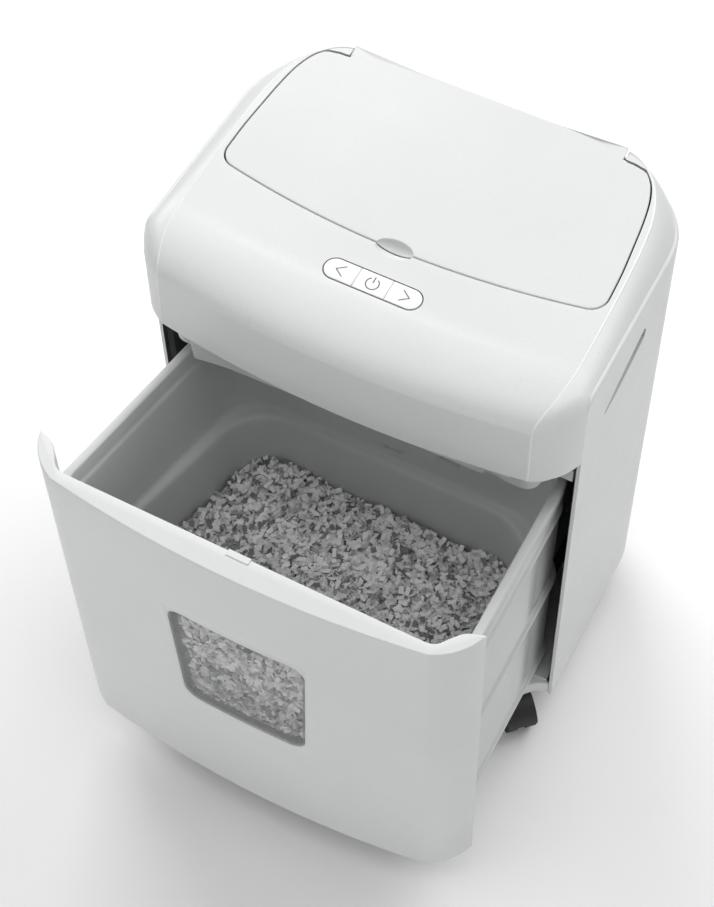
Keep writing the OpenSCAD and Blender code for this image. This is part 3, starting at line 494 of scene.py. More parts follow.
# ---------------------------------------------------------------- head
def head_surface():
    """Stations round the head: the crease line, the outer edge, the bow and the cheek's bulge at each."""
    fold = [(151.5, -37.7, 470), (151.8, -36.4, 474.2), (152.7, -33.7, 477.8), (154.1, -29.9, 481.0),
            (155.6, -25.4, 483.8), (157.0, -20.6, 486.1), (158.4, -15.0, 488.0), (159.7, -8.5, 489.6),
            (160.8, -1.0, 490.8), (161.5, 7.5, 491.55), (162.0, 17.0, TOP_Z0)]
    fold = curve(fold, 2)
    low = [(152 - 0.1 * i, -39.5 + 0.35 * i, z) for i, z in enumerate((HEAD_Z, 422, 430, 440, 450, 460))]
    plane_xy = curve([(162, 17), (162.2, 40), (162.2, 62), (162, 85), (161.4, 106), (160.4, 128),
                      (158.2, 148), (154.4, 164), (148.5, 178), (141, 189), (132, 197.6), (124, 202.2),
                      (115, 204.9)], 3)[1:]
    crease = low + fold + [(x, y, top_z(y)) for x, y in plane_xy]
    edge_low = [(HALF_W, SIDE_Y, p[2]) for p in low]
    # the edge runs up the front of the side wall, round its bend and back along its top
    turn = []
    for t in np.linspace(0.05, 1.0, len(fold)):
        run = t * 48.0
        a = min(math.pi / 2, max(0.0, run - 14.0) / SIDE_BEND)
        turn.append((HALF_W - 3.5 * a / (math.pi / 2),
                     SIDE_Y + SIDE_BEND * (1 - math.cos(a)) + max(0.0, run - 31.3),
                     min(462 + run, SIDE_TOP - 10.4) + SIDE_BEND * math.sin(a)))
    edge_xy = curve([(176.5, y) for y in (24, 44, 64, 86, 106, 126)]
                    + [(175.8, 146), (171.8, 164), (164.4, 178.5), (154.8, 189.4), (142.2, 197.6),
                       (129.6, 202.4), (116, 204.9)], 3)[1:]
    edge = edge_low + turn + [(x, y, SIDE_TOP + 0.6) for x, y in edge_xy]
    n_low, n_fold = len(low), len(fold)
    stations = []
    for i, (k, e) in enumerate(zip(crease, edge)):
        if i < n_low:
            bow, bulge, lift = BOW, 4.7, 0.0
        elif i < n_low + n_fold:
            t = (i - n_low) / (n_fold - 1)
            bow, bulge, lift = BOW, 4.7 - 3.1 * t, t * t * (3 - 2 * t)
        else:
            t = min(1.0, (i - n_low - n_fold + 1) / 8)
            left = (len(crease) - 1 - i) / 8
            bow, bulge, lift = BOW * (1 - t), 1.6 * min(1.0, left), 1.0
        stations.append((k, e, bow, bulge, lift))
    return stations


def head_cover():
    stations = head_surface()
    n, m = 16, 6
    verts, faces, kinds = [], [], []

    def face_row(a, b, kind=0):
        for i in range(len(a) - 1):
            base = len(verts)
            verts.extend([a[i], a[i + 1], b[i + 1], b[i]])
            faces.append((base, base + 1, base + 2, base + 3))
            kinds.append(kind)

    rows = []
    for (kx, ky, kz), _, bow, _, lift in stations:
        row = []
        for i in range(-n, n + 1):
            u = i / n
            y = ky - bow * (1 - u * u)
            flat = top_z(y) if kz >= TOP_Z0 else kz
            row.append((kx * u, y, kz * (1 - lift) + flat * lift))
        rows.append(row)
    for a, b in zip(rows, rows[1:]):
        face_row(a, b)
    ks = [np.array(s[0]) for s in stations]
    es = [np.array(s[1]) for s in stations]
    strips = []
    for i, (k, e) in enumerate(zip(ks, es)):
        bulge = stations[i][3]
        a = (ks[max(0, i - 1)] + es[max(0, i - 1)]) / 2
        b = (ks[min(len(ks) - 1, i + 1)] + es[min(len(ks) - 1, i + 1)]) / 2
        normal = np.cross(b - a, k - e)
        normal /= np.linalg.norm(normal) + 1e-9
        if normal.dot((k + e) / 2 - np.array((0, 80, 430))) < 0:
            normal = -normal
        strips.append([tuple(e + (k - e) * j / m + normal * bulge * 4 * (j / m) * (1 - j / m))
                       for j in range(m + 1)])
    # the flat back, between the rear corners
    back = []
    for i in range(2 * n + 1):
        top = np.array(rows[-1][i])
        foot = np.array((top[0] * es[-1][0] / ks[-1][0], es[-1][1], es[-1][2]))
        back.append([tuple(foot + (top - foot) * j / m) for j in range(m + 1)])
    for a, b in zip(back, back[1:]):
        face_row(a, b)
    for side in (1, -1):
        mirrored = [[(side * x, y, z) for x, y, z in strip] for strip in strips]
        for a, b in zip(mirrored, mirrored[1:]):
            face_row(a, b)
    # the open underside is closed for the cutting, then opened again
    for a, b in zip(es[:-1], es[1:-1]):
        face_row([(-a[0], a[1], a[2]), (a[0], a[1], a[2])], [(-b[0], b[1], b[2]), (b[0], b[1], b[2])], 1)
    last = [(-es[-2][0], es[-2][1], es[-2][2])] + [strip[0] for strip in back] + [tuple(es[-2])]
    base = len(verts)
    verts.extend(last)
    faces.append(tuple(range(base, base + len(last))))
    kinds.append(1)
    lip = [(-es[0][0], es[0][1], es[0][2])] + [(-x, y, z) for x, y, z in strips[0][1:-1]] + rows[0]
    lip += [p for p in reversed(strips[0][:-1])]
    base = len(verts)
    verts.extend(lip)
    faces.append(tuple(range(base, base + len(lip))))
    kinds.append(1)
    piece = make("head_cover_shell", verts, faces, ["white", "dark", "red"], "cabinet", ["head_cover"],
                 "cover_white", angle=50, merge=2e-5, face_mats=kinds)
    mesh = piece.data
    weights = mesh.attributes.new("bevel_weight_edge", "FLOAT", "EDGE")
    crease = {tuple(round(c, 2) for c in (s * k[0], k[1], k[2])) for s in (1, -1) for k in ks}
    on_crease = [tuple(round(c / MM, 2) for c in v.co) in crease for v in mesh.vertices]
    values = []
    for e in mesh.edges:
        a, b = e.vertices
        same_side = mesh.vertices[a].co.x * mesh.vertices[b].co.x > 0
        values.append(1.0 if on_crease[a] and on_crease[b] and same_side else 0.0)
    weights.data.foreach_set("value", values)
    mod = piece.modifiers.new("crease", "BEVEL")
    mod.limit_method, mod.width, mod.segments = "WEIGHT", 1.1 * MM, 2
    settle(piece)
    tools = []
    hole = both(lid_half(0.8))
    wide = offset(hole, -0.5)
    far = offset(hole, -6.0)
    rings = [[(x, y, top_z(y) - 30) for x, y in hole], [(x, y, top_z(y) - 0.5) for x, y in hole],
             [(x, y, top_z(y) + 0.02) for x, y in wide], [(x, y, top_z(y) + 8) for x, y in far]]
    tools.append(cutter("lid_hole", *bridge(rings, cap=(True, True)), through=True))
    trough = BARREL_HALF + 3.5
    v, f = box_mesh((-trough, HINGE_Y - 5, HINGE_Z - 7.2), (trough, BACK_Y + 6, HINGE_Z + 40))
    tools.append(cutter("hinge_trough", v, f, through=True))
    rings = []
    for grow, h in ((0.6, -12), (0.6, -0.3), (0.95, 0.02), (4, 4)):
        rings.append([key_point(x, y, h) for x, y in pill(KEYS_L + 2 * grow, KEYS_W + 2 * grow)])
    tools.append(cutter("keys_hole", *bridge(rings, cap=(True, True)), through=True))
    tools.append(cutter("dish_hole", *dish(*DISH)))
    carve(piece, tools)
    bm = bmesh.new()
    bm.from_mesh(piece.data)
    bmesh.ops.delete(bm, geom=[f for f in bm.faces if f.material_index > 0], context="FACES")
    bmesh.ops.remove_doubles(bm, verts=bm.verts, dist=2e-6)
    bm.to_mesh(piece.data)
    bm.free()
    while len(piece.data.materials) > 1:
        piece.data.materials.pop()
    mod = piece.modifiers.new("wall", "SOLIDIFY")
    mod.thickness, mod.offset, mod.use_even_offset = SKIN * MM, -1.0, False
    settle(piece)
    piece.data.set_sharp_from_angle(angle=math.radians(40))
    even(piece)
    return piece


def crease_beads():
    """The thin raised line where the front and the top meet the side bands, in a lighter white: a painted
    highlight along the crease.
    """
    stations = [s for s in head_surface() if math.dist(s[0], s[1]) > 8]
    ks = [np.array(s[0]) for s in stations]
    right = []
    for i, (k, e, bow, bulge, lift) in enumerate(stations):
        k, e = np.array(k), np.array(e)
        along = ks[min(i + 1, len(ks) - 1)] - ks[max(i - 1, 0)]
        along /= np.linalg.norm(along)
        slope = -2.0 * bow / k[0]
        normals = []
        for side in (np.array((-1.0, slope, slope * TOP_RISE * lift)), e - k):
            normal = np.cross(along, side)
            normal /= np.linalg.norm(normal)
            if normal.dot(k - np.array((0, 80, 430))) < 0:
                normal = -normal
            normals.append(normal)
        up = normals[0] + normals[1]
        up /= np.linalg.norm(up)
        across = np.cross(along, up)
        half = ((-1.3, -0.7), (-0.7, -0.02), (-0.35, 0.22))
        section = list(half) + [(0.0, 0.3)] + [(-a, h) for a, h in reversed(half)]
        right.append([tuple(k + across * a + up * h) for a, h in section])
    for sign, side in ((1, "right"), (-1, "left")):
        rings = [[(sign * x, y, z) for x, y, z in ring] for ring in right]
        make("crease_bead_" + side, *bridge(rings, cap=(True, True)), ["bead"], "cabinet", (), "cover_white",
             angle=70)


def dish(a, b, c):
    """The finger dish: an ellipsoid that is level with the sloping top."""
    rings = []
    for t in np.linspace(-90, 90, 22):
        r, h = math.cos(math.radians(t)), math.sin(math.radians(t))
        ring = []
        for p in np.linspace(0, 2 * math.pi, 49)[:-1]:
            y = DISH_Y + b * r * math.sin(p)
            ring.append((a * r * math.cos(p), y, top_z(y) + c * h))
        rings.append(ring)
    return bridge(rings, cap=(True, True))


TILT = math.atan(TOP_RISE)
KEY_Y = 14.5


def key_point(x, y, h):
    """A point of the key row: x along it, y across it, h above the sloping top."""
    along, up = math.cos(TILT), math.sin(TILT)
    return (x, KEY_Y + y * along - h * up, top_z(KEY_Y) + y * up + h * along)


def pill(length, width, n=14):
    """An outline with round ends."""
    r = width / 2
    c = length / 2 - r
    return arc(c, 0, r, -90, 90, n) + arc(-c, 0, r, 90, 270, n)


def lid_piece():
    """The lid's panel, its hinge barrel with the ears, and its half of the finger scoop."""
    outline = both(lid_half(0.0))
    rings = []
    for inset, h in ((0.5, -LID_T), (0.0, -2.6), (0.0, -0.9), (0.1, -0.5), (0.35, -0.15), (0.8, 0.0),
                     (3.0, 0.0)):
        ring = []
        for x, y in offset(outline, inset):
            # the rear edges beside the barrel are thinned from below, so that they swing clear
            thin = -LID_T + (y - 189) * 0.4 if abs(x) > BARREL_HALF + 1.5 and y > 189 else -LID_T
            ring.append((x, y, top_z(y) + max(h, thin)))
        rings.append(ring)
    verts, faces = bridge(rings, cap=(True, True))
    piece = make("lid_panel", verts, faces, ["lid"], "top_lid", ["lid"], "cover_white", angle=40, merge=1e-7)
    carve(piece, [cutter("scoop_tool", *dish(*DISH))])
    piece.data.set_sharp_from_angle(angle=math.radians(40))
    even(piece)
    barrel = tube_x(-BARREL_HALF, BARREL_HALF, HINGE_Y, HINGE_Z, 2.9, 28)
    ears = [box_mesh((s * 124 - 2, 152, 478), (s * 124 + 2, 166, top_z(158) - 2.4)) for s in (-1, 1)]
    verts, faces = join_mesh([barrel] + ears)
    make("lid_barrel", verts, faces, ["lid"], "top_lid", (), "cover_white", angle=40, merge=1e-7)
    a, b, c = DISH
    rows = []
    for p in np.linspace(-math.pi / 2, math.pi / 2, 25):
        x = a * math.sin(p)
        seam = 48.7 + 16.5 * (x / LID_HALF_W) ** 2
        far = max(seam + 0.01, DISH_Y + b * math.sqrt(max(0.0, 1 - (x / a) ** 2)))
        row = []
        for t in np.linspace(0, 1, 9):
            y = seam + (far - seam) * t
            depth = c * math.sqrt(max(0.0, 1 - (x / a) ** 2 - ((y - DISH_Y) / b) ** 2))
            row.append((x, y, top_z(y) - depth))
        rows.append(row)
    scoop = make("lid_scoop", *bridge(rows, closed=False), ["lid"], "top_lid", (), "cover_white", angle=60,
                 flip=(0, 50, 400))
    mod = scoop.modifiers.new("wall", "SOLIDIFY")
    mod.thickness, mod.offset = 1.0 * MM, -1.0


def tube_x(x0, x1, y, z, r, n, chamfer=0.5):
    """A rod along X with chamfered ends."""
    rings = []
    for x, rr in ((x0, r - chamfer), (x0 + chamfer, r), (x1 - chamfer, r), (x1, r - chamfer)):
        rings.append([(x, y + rr * math.cos(2 * math.pi * i / n), z + rr * math.sin(2 * math.pi * i / n))
                      for i in range(n)])
    return bridge(rings, cap=(True, True))


def keys():
    """Three keys cut from one pill, their symbols and the surround."""
    end = KEYS_L / 2 + 1
    split, gap = KEYS_L / 6, 0.35 / 2
    for node, body, x0, x1 in (("key_reverse", "reverse_key", -end, -split - gap),
                               ("key_power", "power_key", -split + gap, split - gap),
                               ("key_forward", "forward_key", split + gap, end)):
        pts = clip(pill(KEYS_L, KEYS_W, 20), x0, x1)
        rings = []
        for inset, h in ((0.0, -4.4), (0.0, -0.25), (0.08, 0.1), (0.28, 0.35), (0.7, 0.45), (3.2, 0.5)):
            rings.append([key_point(x, y, h) for x, y in offset(pts, inset)])
        make(node + "_cap", *bridge(rings, cap=(True, True)), ["key"], body, [node], "key_white", angle=60)
    icon("reverse_key", stroke([(-23.0, 4.7), (-29.6, 0), (-23.0, -4.7)], 0.85), "key_arrow_back")
    icon("forward_key", stroke([(23.0, 4.7), (29.6, 0), (23.0, -4.7)], 0.85), "key_arrow_on")
    ring = [(5.0 * math.sin(math.radians(a)), 5.0 * math.cos(math.radians(a)) - 0.4)
            for a in np.linspace(32, 328, 30)]
    icon("power_key", stroke(ring, 0.9), "key_power_ring")
    icon("power_key", stroke([(0, 5.7), (0, 0.4)], 0.9), "key_power_bar")
    # surround, seen as a thin dark line
    rings = []
    for grow, h in ((1.05, -10), (1.05, -0.15), (0.9, 0.0), (0.45, 0.0), (0.35, -0.2), (0.35, -10)):
        rings.append([key_point(x, y, h) for x, y in pill(KEYS_L + 2 * grow, KEYS_W + 2 * grow, 20)])
    rings.append(rings[0])
    make("key_surround", *bridge(rings), ["groove"], "cabinet", ["key_bezel"], "inner_grey", angle=40)


def clip(outline, x0, x1):
    """The part of a convex outline between two x values."""
    pts = outline
    for keep, edge in ((lambda p: p[0] >= x0, x0), (lambda p: p[0] <= x1, x1)):
        out = []
        for i, p in enumerate(pts):
            q = pts[(i + 1) % len(pts)]
            if keep(p):
                out.append(p)
            if keep(p) != keep(q):
                t = (edge - p[0]) / (q[0] - p[0])
                out.append((edge, p[1] + t * (q[1] - p[1])))
        pts = out
    return [p for i, p in enumerate(pts) if math.dist(p, pts[i - 1]) > 0.05]


def rounded_rect(x0, y0, x1, y1, r, n=6):
    """A rectangle's outline with round corners."""
    return (arc(x1 - r, y0 + r, r, -90, 0, n) + arc(x1 - r, y1 - r, r, 0, 90, n)
            + arc(x0 + r, y1 - r, r, 90, 180, n) + arc(x0 + r, y0 + r, r, 180, 270, n))


def stroke(points, width):
    """A flat ribbon along points, as two rows."""
    pts = np.array(points, float)
    left, right = [], []
    for i, p in enumerate(pts):
        a = pts[max(0, i - 1)]
        b = pts[min(len(pts) - 1, i + 1)]
        da, db = p - a, b - p
        da = da / (np.linalg.norm(da) + 1e-9) if i > 0 else db / np.linalg.norm(db)
        db = db / (np.linalg.norm(db) + 1e-9) if i < len(pts) - 1 else da
        d = da + db
        d /= np.linalg.norm(d)
        nrm = np.array((-d[1], d[0])) * width / 2 / max(0.4, d.dot(da))
        left.append(p + nrm)
        right.append(p - nrm)
    return left, right


def icon(body, rows, name):
    """A flat printed stroke on top of a key."""
    left, right = rows
    top = 0.56
    rings = [[key_point(*l, top - 0.15), key_point(*l, top), key_point(*r, top), key_point(*r, top - 0.15)]
             for l, r in zip(left, right)]
    make(name, *bridge(rings, cap=(True, True)), ["icon"], body, (), "inner_grey", angle=40)


# ---------------------------------------------------------------- cabinet
def wall_top(y):
    """Height of the side wall's top edge, which bends down at the front."""
    if y >= SIDE_Y + SIDE_BEND:
        return SIDE_TOP
    return SIDE_TOP - SIDE_BEND + math.sqrt(max(0.0, SIDE_BEND ** 2 - (SIDE_Y + SIDE_BEND - y) ** 2))


def cabinet():
    """Side and back walls in one, with finger grips, vents and openings for the inlet and the switch."""
    outer = body_path(0.0)
    inner = [b if b[1] > SIDE_Y + 6 else a for a, b in zip(body_path(3.0), body_path(6.0))]

    def between(a, b, t):
        return (a[0] + (b[0] - a[0]) * t, a[1] + (b[1] - a[1]) * t)

    rings = []
    for o, i in zip(outer, inner):
        top = wall_top(o[1])
        ring = [(*between(o, i, t), FLOOR_Z + up) for t, up in ((0.12, 0), (0.03, 0.25), (0, 0.8))]
        ring += [(*o, 180), (*o, 320), (*o, top - 2.6)]
        ring += [(*between(o, i, t), top - down) for t, down in ((0.06, 1.4), (0.2, 0.4), (0.4, 0), (0.9, 0))]
        ring += [(*i, top - 0.6), (*i, 320), (*i, 180), (*i, FLOOR_Z)]
        rings.append(ring)
    verts, faces = bridge(rings, cap=(True, True))
    count = len(rings[0])
    walls = (len(rings) - 1) * count
    # the inner faces of the walls get the second material, painted near black: painted shade inside the
    # cabinet
    mats = [1 if k < walls and k % count in (10, 11, 12) else 0 for k in range(len(faces))]
    piece = make("cabinet_walls", verts, faces, ["shell", "wall_inside_shade", "grip"], "cabinet", ["cabinet_shell"],
                 "shell_white", angle=35, face_mats=mats)
    tools = []
    # finger grips: a wedge that is deepest along its upper edge; its walls take the third material, a darker
    # grey that is painted shade for the recess
    edge = [(30.6, 426.4), (46, 427.4), (62, 430.0), (78, 433.0), (93, 436.4), (99.5, 439.4), (101.5, 445.0),
            (98, 450.6), (80, 446.2), (62, 441.0), (40, 433.6), (31.6, 430.4), (30, 428.6)]
    for s in (-1, 1):
        rings = [[(s * x, y, z) for y, z in offset(edge, grow)] for x, grow in ((181, -0.7), (179.6, 0.0))]
        rings.append([(s * (176.8 - 0.16 * (z - 424)), y, z) for y, z in offset(edge, 0.6)])
        verts, faces = bridge(rings, cap=(True, True))
        tools.append(make("grip_tool", verts, faces, ["white", "dark", "red"], None, merge=1e-7,
                          face_mats=[2] * len(faces)))
    # vents, and openings for the inlet and the switch
    vents = [(c * 18 - 78, 420 + r * 8, c * 18 - 66, 423 + r * 8) for r in range(5) for c in range(9)]
    cuts = [box_mesh((x0, BACK_Y - 8, z0), (x1, BACK_Y + 2, z1))
            for x0, z0, x1, z1 in vents + [(-116, 386, -88, 407), (-76, 386, -56, 407)]]
    tools.append(cutter("back_tool", *join_mesh(cuts)))
    carve(piece, tools)
    soften(piece, 0.5, 2, 50)
    even(piece)
    return piece


def base_lip():
    """The floor's front corners: they follow the inside of the drawer's cheeks."""
    for s, side in ((1, "right"), (-1, "left")):
        front = curve([(176.6, -7.3), (170.5, -9.7), (165.0, -13.0), (159.2, -19.4), (154.0, -26.0),
                       (149.8, -29.1), (143.0, -30.0)], 4)
        outline = [(s * x, y) for x, y in front + [(139.0, -30.0), (139.0, -4.4), (176.6, -4.4)]]
        rings = [[(x, y, FLOOR_Z + up) for x, y in offset(outline, inset)]
                 for inset, up in ((1.4, 0), (0.4, 0.4), (0, 1.4), (0, 14.2), (0.4, 15.3), (1.4, 15.8))]
        make("base_lip_" + side, *bridge(rings, cap=(True, True)), ["shell"], "cabinet", (), "shell_white",
             angle=40)


def apron():
    """The skirt below the head: a stepped flat apron, and a lip round each cheek."""
    low = [(-137.5, 389.0), (-135.6, 366.5), (-134.0, 365.4), (-118.0, 369.2), (-103.0, 371.6),
           (-41.4, 374.4), (111.0, 379.0), (112.2, 379.6), (113.4, 385.0), (117.2, 386.6), (132.4, 388.2),
           (133.6, 389.0), (135.2, 398.2), (144.0, 399.0), (150.0, 399.6)]
    top = HEAD_Z + 1
    rows = [[(x, -27.6, top), (x, -27.6, z + 0.8), (x, -27.1, z), (x, -25.6, z), (x, -25.1, z + 0.8),
             (x, -25.1, top)] for x, z in low]
    verts, faces = bridge(rows, cap=(True, True))
    make("head_apron", verts, faces, ["shell"], "cabinet", (), "shell_white", angle=30)
    for s, side in ((1, "right"), (-1, "left")):
        path = arc(CHEEK[0], CHEEK[1], CHEEK[2] - 12.6, -66, -24, 22)
        inner = arc(CHEEK[0], CHEEK[1], CHEEK[2] - 15.0, -66, -24, 22)
        rows = []
        for k, ((x, y), (u, v)) in enumerate(zip(path, inner)):
            end = min(k, len(path) - 1 - k)
            z = 392.0 + (3.2, 1.0, 0.2)[end] if end < 3 else 392.0
            foot = [(s * (x + (u - x) * t), y + (v - y) * t, z) for t in (0.25, 0.75)]
            rows.append([(s * x, y, top), (s * x, y, z + 1.0), *foot, (s * u, v, z + 1.0), (s * u, v, top)])
        make("cheek_lip_" + side, *bridge(rows, cap=(True, True)), ["shell"], "cabinet", (), "shell_white",
             angle=30)


# ---------------------------------------------------------------- drawer
def panel_outline():
    """The drawer front's plan: bowed outside, thick wrapped ends, flat inside."""
    tip = [(179.9, SIDE_Y - 0.2), (178.6, SIDE_Y - 0.1)]
    inner = curve([(x, SIDE_Y - step) for x, step in ((177.2, 0.6), (170.5, 2.8), (165.0, 6.0), (159.5, 12.2),
                                                      (154.5, 18.8), (150.2, 22.0), (144.0, 23.0))], 3)
    flat = [(x, SIDE_Y - 23) for x in (110, 70, 30, 0)]
    right = front_half() + tip + inner + flat
    outline = right + [(-x, y) for x, y in reversed(right) if abs(x) > 1e-6]
    return [(x, y - OUT) for x, y in outline]


def window_half_width(z, grow=0.0):
    """Half of the window's width at a height: it widens upwards and has round corners."""
    low, high, z0, z1 = 53 + grow, 58 + grow, 187 - grow, 320 + grow
    r = 13 + grow
    w = low + (high - low) * (z - z0) / (z1 - z0)
    for edge, sign in ((z0, 1), (z1, -1)):
        d = (z - edge) * sign
        if d < r:
            w -= r - math.sqrt(max(0.0, r * r - (r - max(0.0, d)) ** 2))
    return w


def window_outline(grow=0.0, n=12):
    """The window's outline, x and z, anticlockwise seen from the front."""
    z0, z1 = 187 - grow, 320 + grow
    r = 13 + grow
    levels = [z0 + r * (1 - math.cos(math.pi / 2 * i / n)) for i in range(n + 1)]
    levels += list(np.linspace(z0 + r, z1 - r, 8))[1:]
    levels += [z1 - r * (1 - math.cos(math.pi / 2 * i / n)) for i in range(n - 1, -1, -1)]
    right = [(window_half_width(z, grow), z) for z in levels]
    top = [(x, z1) for x in np.linspace(right[-1][0], -right[-1][0], 9)[1:-1]]
    left = [(-x, z) for x, z in reversed(right)]
    bottom = [(x, z0) for x in np.linspace(left[-1][0], -left[-1][0], 9)[1:-1]]
    return right + top + left + bottom


def bow_y(x, inset):
    """The bowed front's place at x, so far behind its surface."""
    r = BOW_R - inset
    return APEX_Y + BOW_R - math.sqrt(r * r - x * x) - OUT


def panel():
    """The drawer's front with the window's opening, and the small catch on its rim."""
    outline = panel_outline()
    rings = []
    for inset, z in ((1.0, PANEL_Z0), (0.3, PANEL_Z0 + 0.3), (0.0, PANEL_Z0 + 1.0), (0.0, 180), (0.0, 330),
                     (0.0, PANEL_Z1 - 1.3), (0.25, PANEL_Z1 - 0.6), (0.65, PANEL_Z1 - 0.15), (1.3, PANEL_Z1)):
        rings.append([(x, y, z) for x, y in offset(outline, inset)])
    piece = make("drawer_front", *bridge(rings, cap=(True, True)), ["white"], "drawer", ["drawer_panel"],
                 "cover_white", angle=34)
    tools = []
    rings = []
    for grow, depth in ((6.0, -6.0), (1.0, -0.02), (0.25, 0.9), (0.0, 1.6), (0.0, 40.0)):
        rings.append([(x, bow_y(x, 0) + depth, z) for x, z in window_outline(grow)])
    tools.append(cutter("window_hole", *bridge(rings, cap=(True, True))))
    # hollow behind the skin, open at the bottom
    rings = []
    for z in (PANEL_Z0 - 2, PANEL_Z1 - 6):
        front = [(x, bow_y(x, 3.5), z) for x in np.linspace(-138, 138, 30)]
        rings.append(front + [(138, -188, z), (-138, -188, z)])
    tools.append(cutter("hollow", *bridge(rings, cap=(True, True))))
    carve(piece, tools)
    # small catch on the rim
    catch_y = -185.2
    rings = []
    for x, drop in ((-8.2, 0.5), (-7.8, 0.0), (9.8, 0.0), (10.2, 0.5)):
        rings.append([(x, catch_y + y, z) for y, z in ((0.2, 408), (0.2, 413.9 - drop), (0.6, 414.4 - drop),
                                                       (-4.2, 414.4 - drop), (-4.9, 413.6), (-4.9, 412))])
    make("rim_catch", *bridge(rings, cap=(True, True)), ["white"], "drawer", (), "cover_white", angle=30)


def window():
    """The curved clear pane and the moulded rim that reaches back to the tub."""
    rows = []
    zs = sorted(set([round(z, 3) for _, z in window_outline(-1.2)]))
    for side, inset in ((0, 1.7), (1, 3.7)):
        for z in zs:
            w = window_half_width(z, -1.2)
            rows.append([(w * u, bow_y(w * u, inset), z) for u in np.linspace(-1, 1, 21)])
    half = len(zs)
    verts, faces = bridge(rows[:half], closed=False)
    v2, f2 = bridge(rows[half:], closed=False)
    verts, faces = join_mesh([(verts, faces), (v2, [tuple(reversed(f)) for f in f2])])
    make("pane_sheet", verts, faces, ["pane"], "drawer", ["window_pane"], "window_clear", angle=60, weld=True,
         merge=1e-6)
    rings = []
    for grow, depth in ((-0.25, None), (-0.25, 1.7), (0.35, 0.5), (0.1, 0.15), (-0.5, 0.35), (-1.5, 1.0),
                        (-2.1, 1.7), (-2.1, None), (-0.25, None)):
        rings.append([(x, -180.2 if depth is None else bow_y(x, 0) + depth, z)
                      for x, z in window_outline(grow)])
    make("pane_rim", *bridge(rings), ["pane_rim"], "drawer", (), "window_clear", angle=40)


def tub_ring(inset, z, rf, rb, n=12):
    """The tub's plan at a height: its left wall runs inwards to the back."""
    front, back = -184.0 + inset, 38.0 - inset
    right = 167.0 - inset
    lf, lb = -170.0 + inset, -147.0 + inset
    pts = arc(right - rf, front + rf, rf, -90, 0, n)
    pts += [(right, y) for y in np.linspace(front + rf, back - rb, 8)[1:-1]]
    pts += arc(right - rb, back - rb, rb, 0, 90, n)
    pts += [(x, back) for x in np.linspace(right - rb, lb + rb, 10)[1:-1]]
    lean = math.degrees(math.atan2(lb - lf, back - front))
    c = (lb + rb, back - rb)
    pts += arc(c[0], c[1], rb, 90, 180 - lean, n)
    c2 = (lf + rf, front + rf)
    start = (c[0] - rb * math.cos(math.radians(lean)), c[1] + rb * math.sin(math.radians(lean)))
    end = (c2[0] - rf * math.cos(math.radians(lean)), c2[1] + rf * math.sin(math.radians(lean)))
    pts += [(start[0] + (end[0] - start[0]) * t, start[1] + (end[1] - start[1]) * t)
            for t in np.linspace(0, 1, 8)[1:-1]]
    pts += arc(c2[0], c2[1], rf, 180 - lean, 270, n)
    pts += [(x, front) for x in np.linspace(lf + rf, right - rf, 12)[1:-1]]
    return [(x, y, z) for x, y in pts]


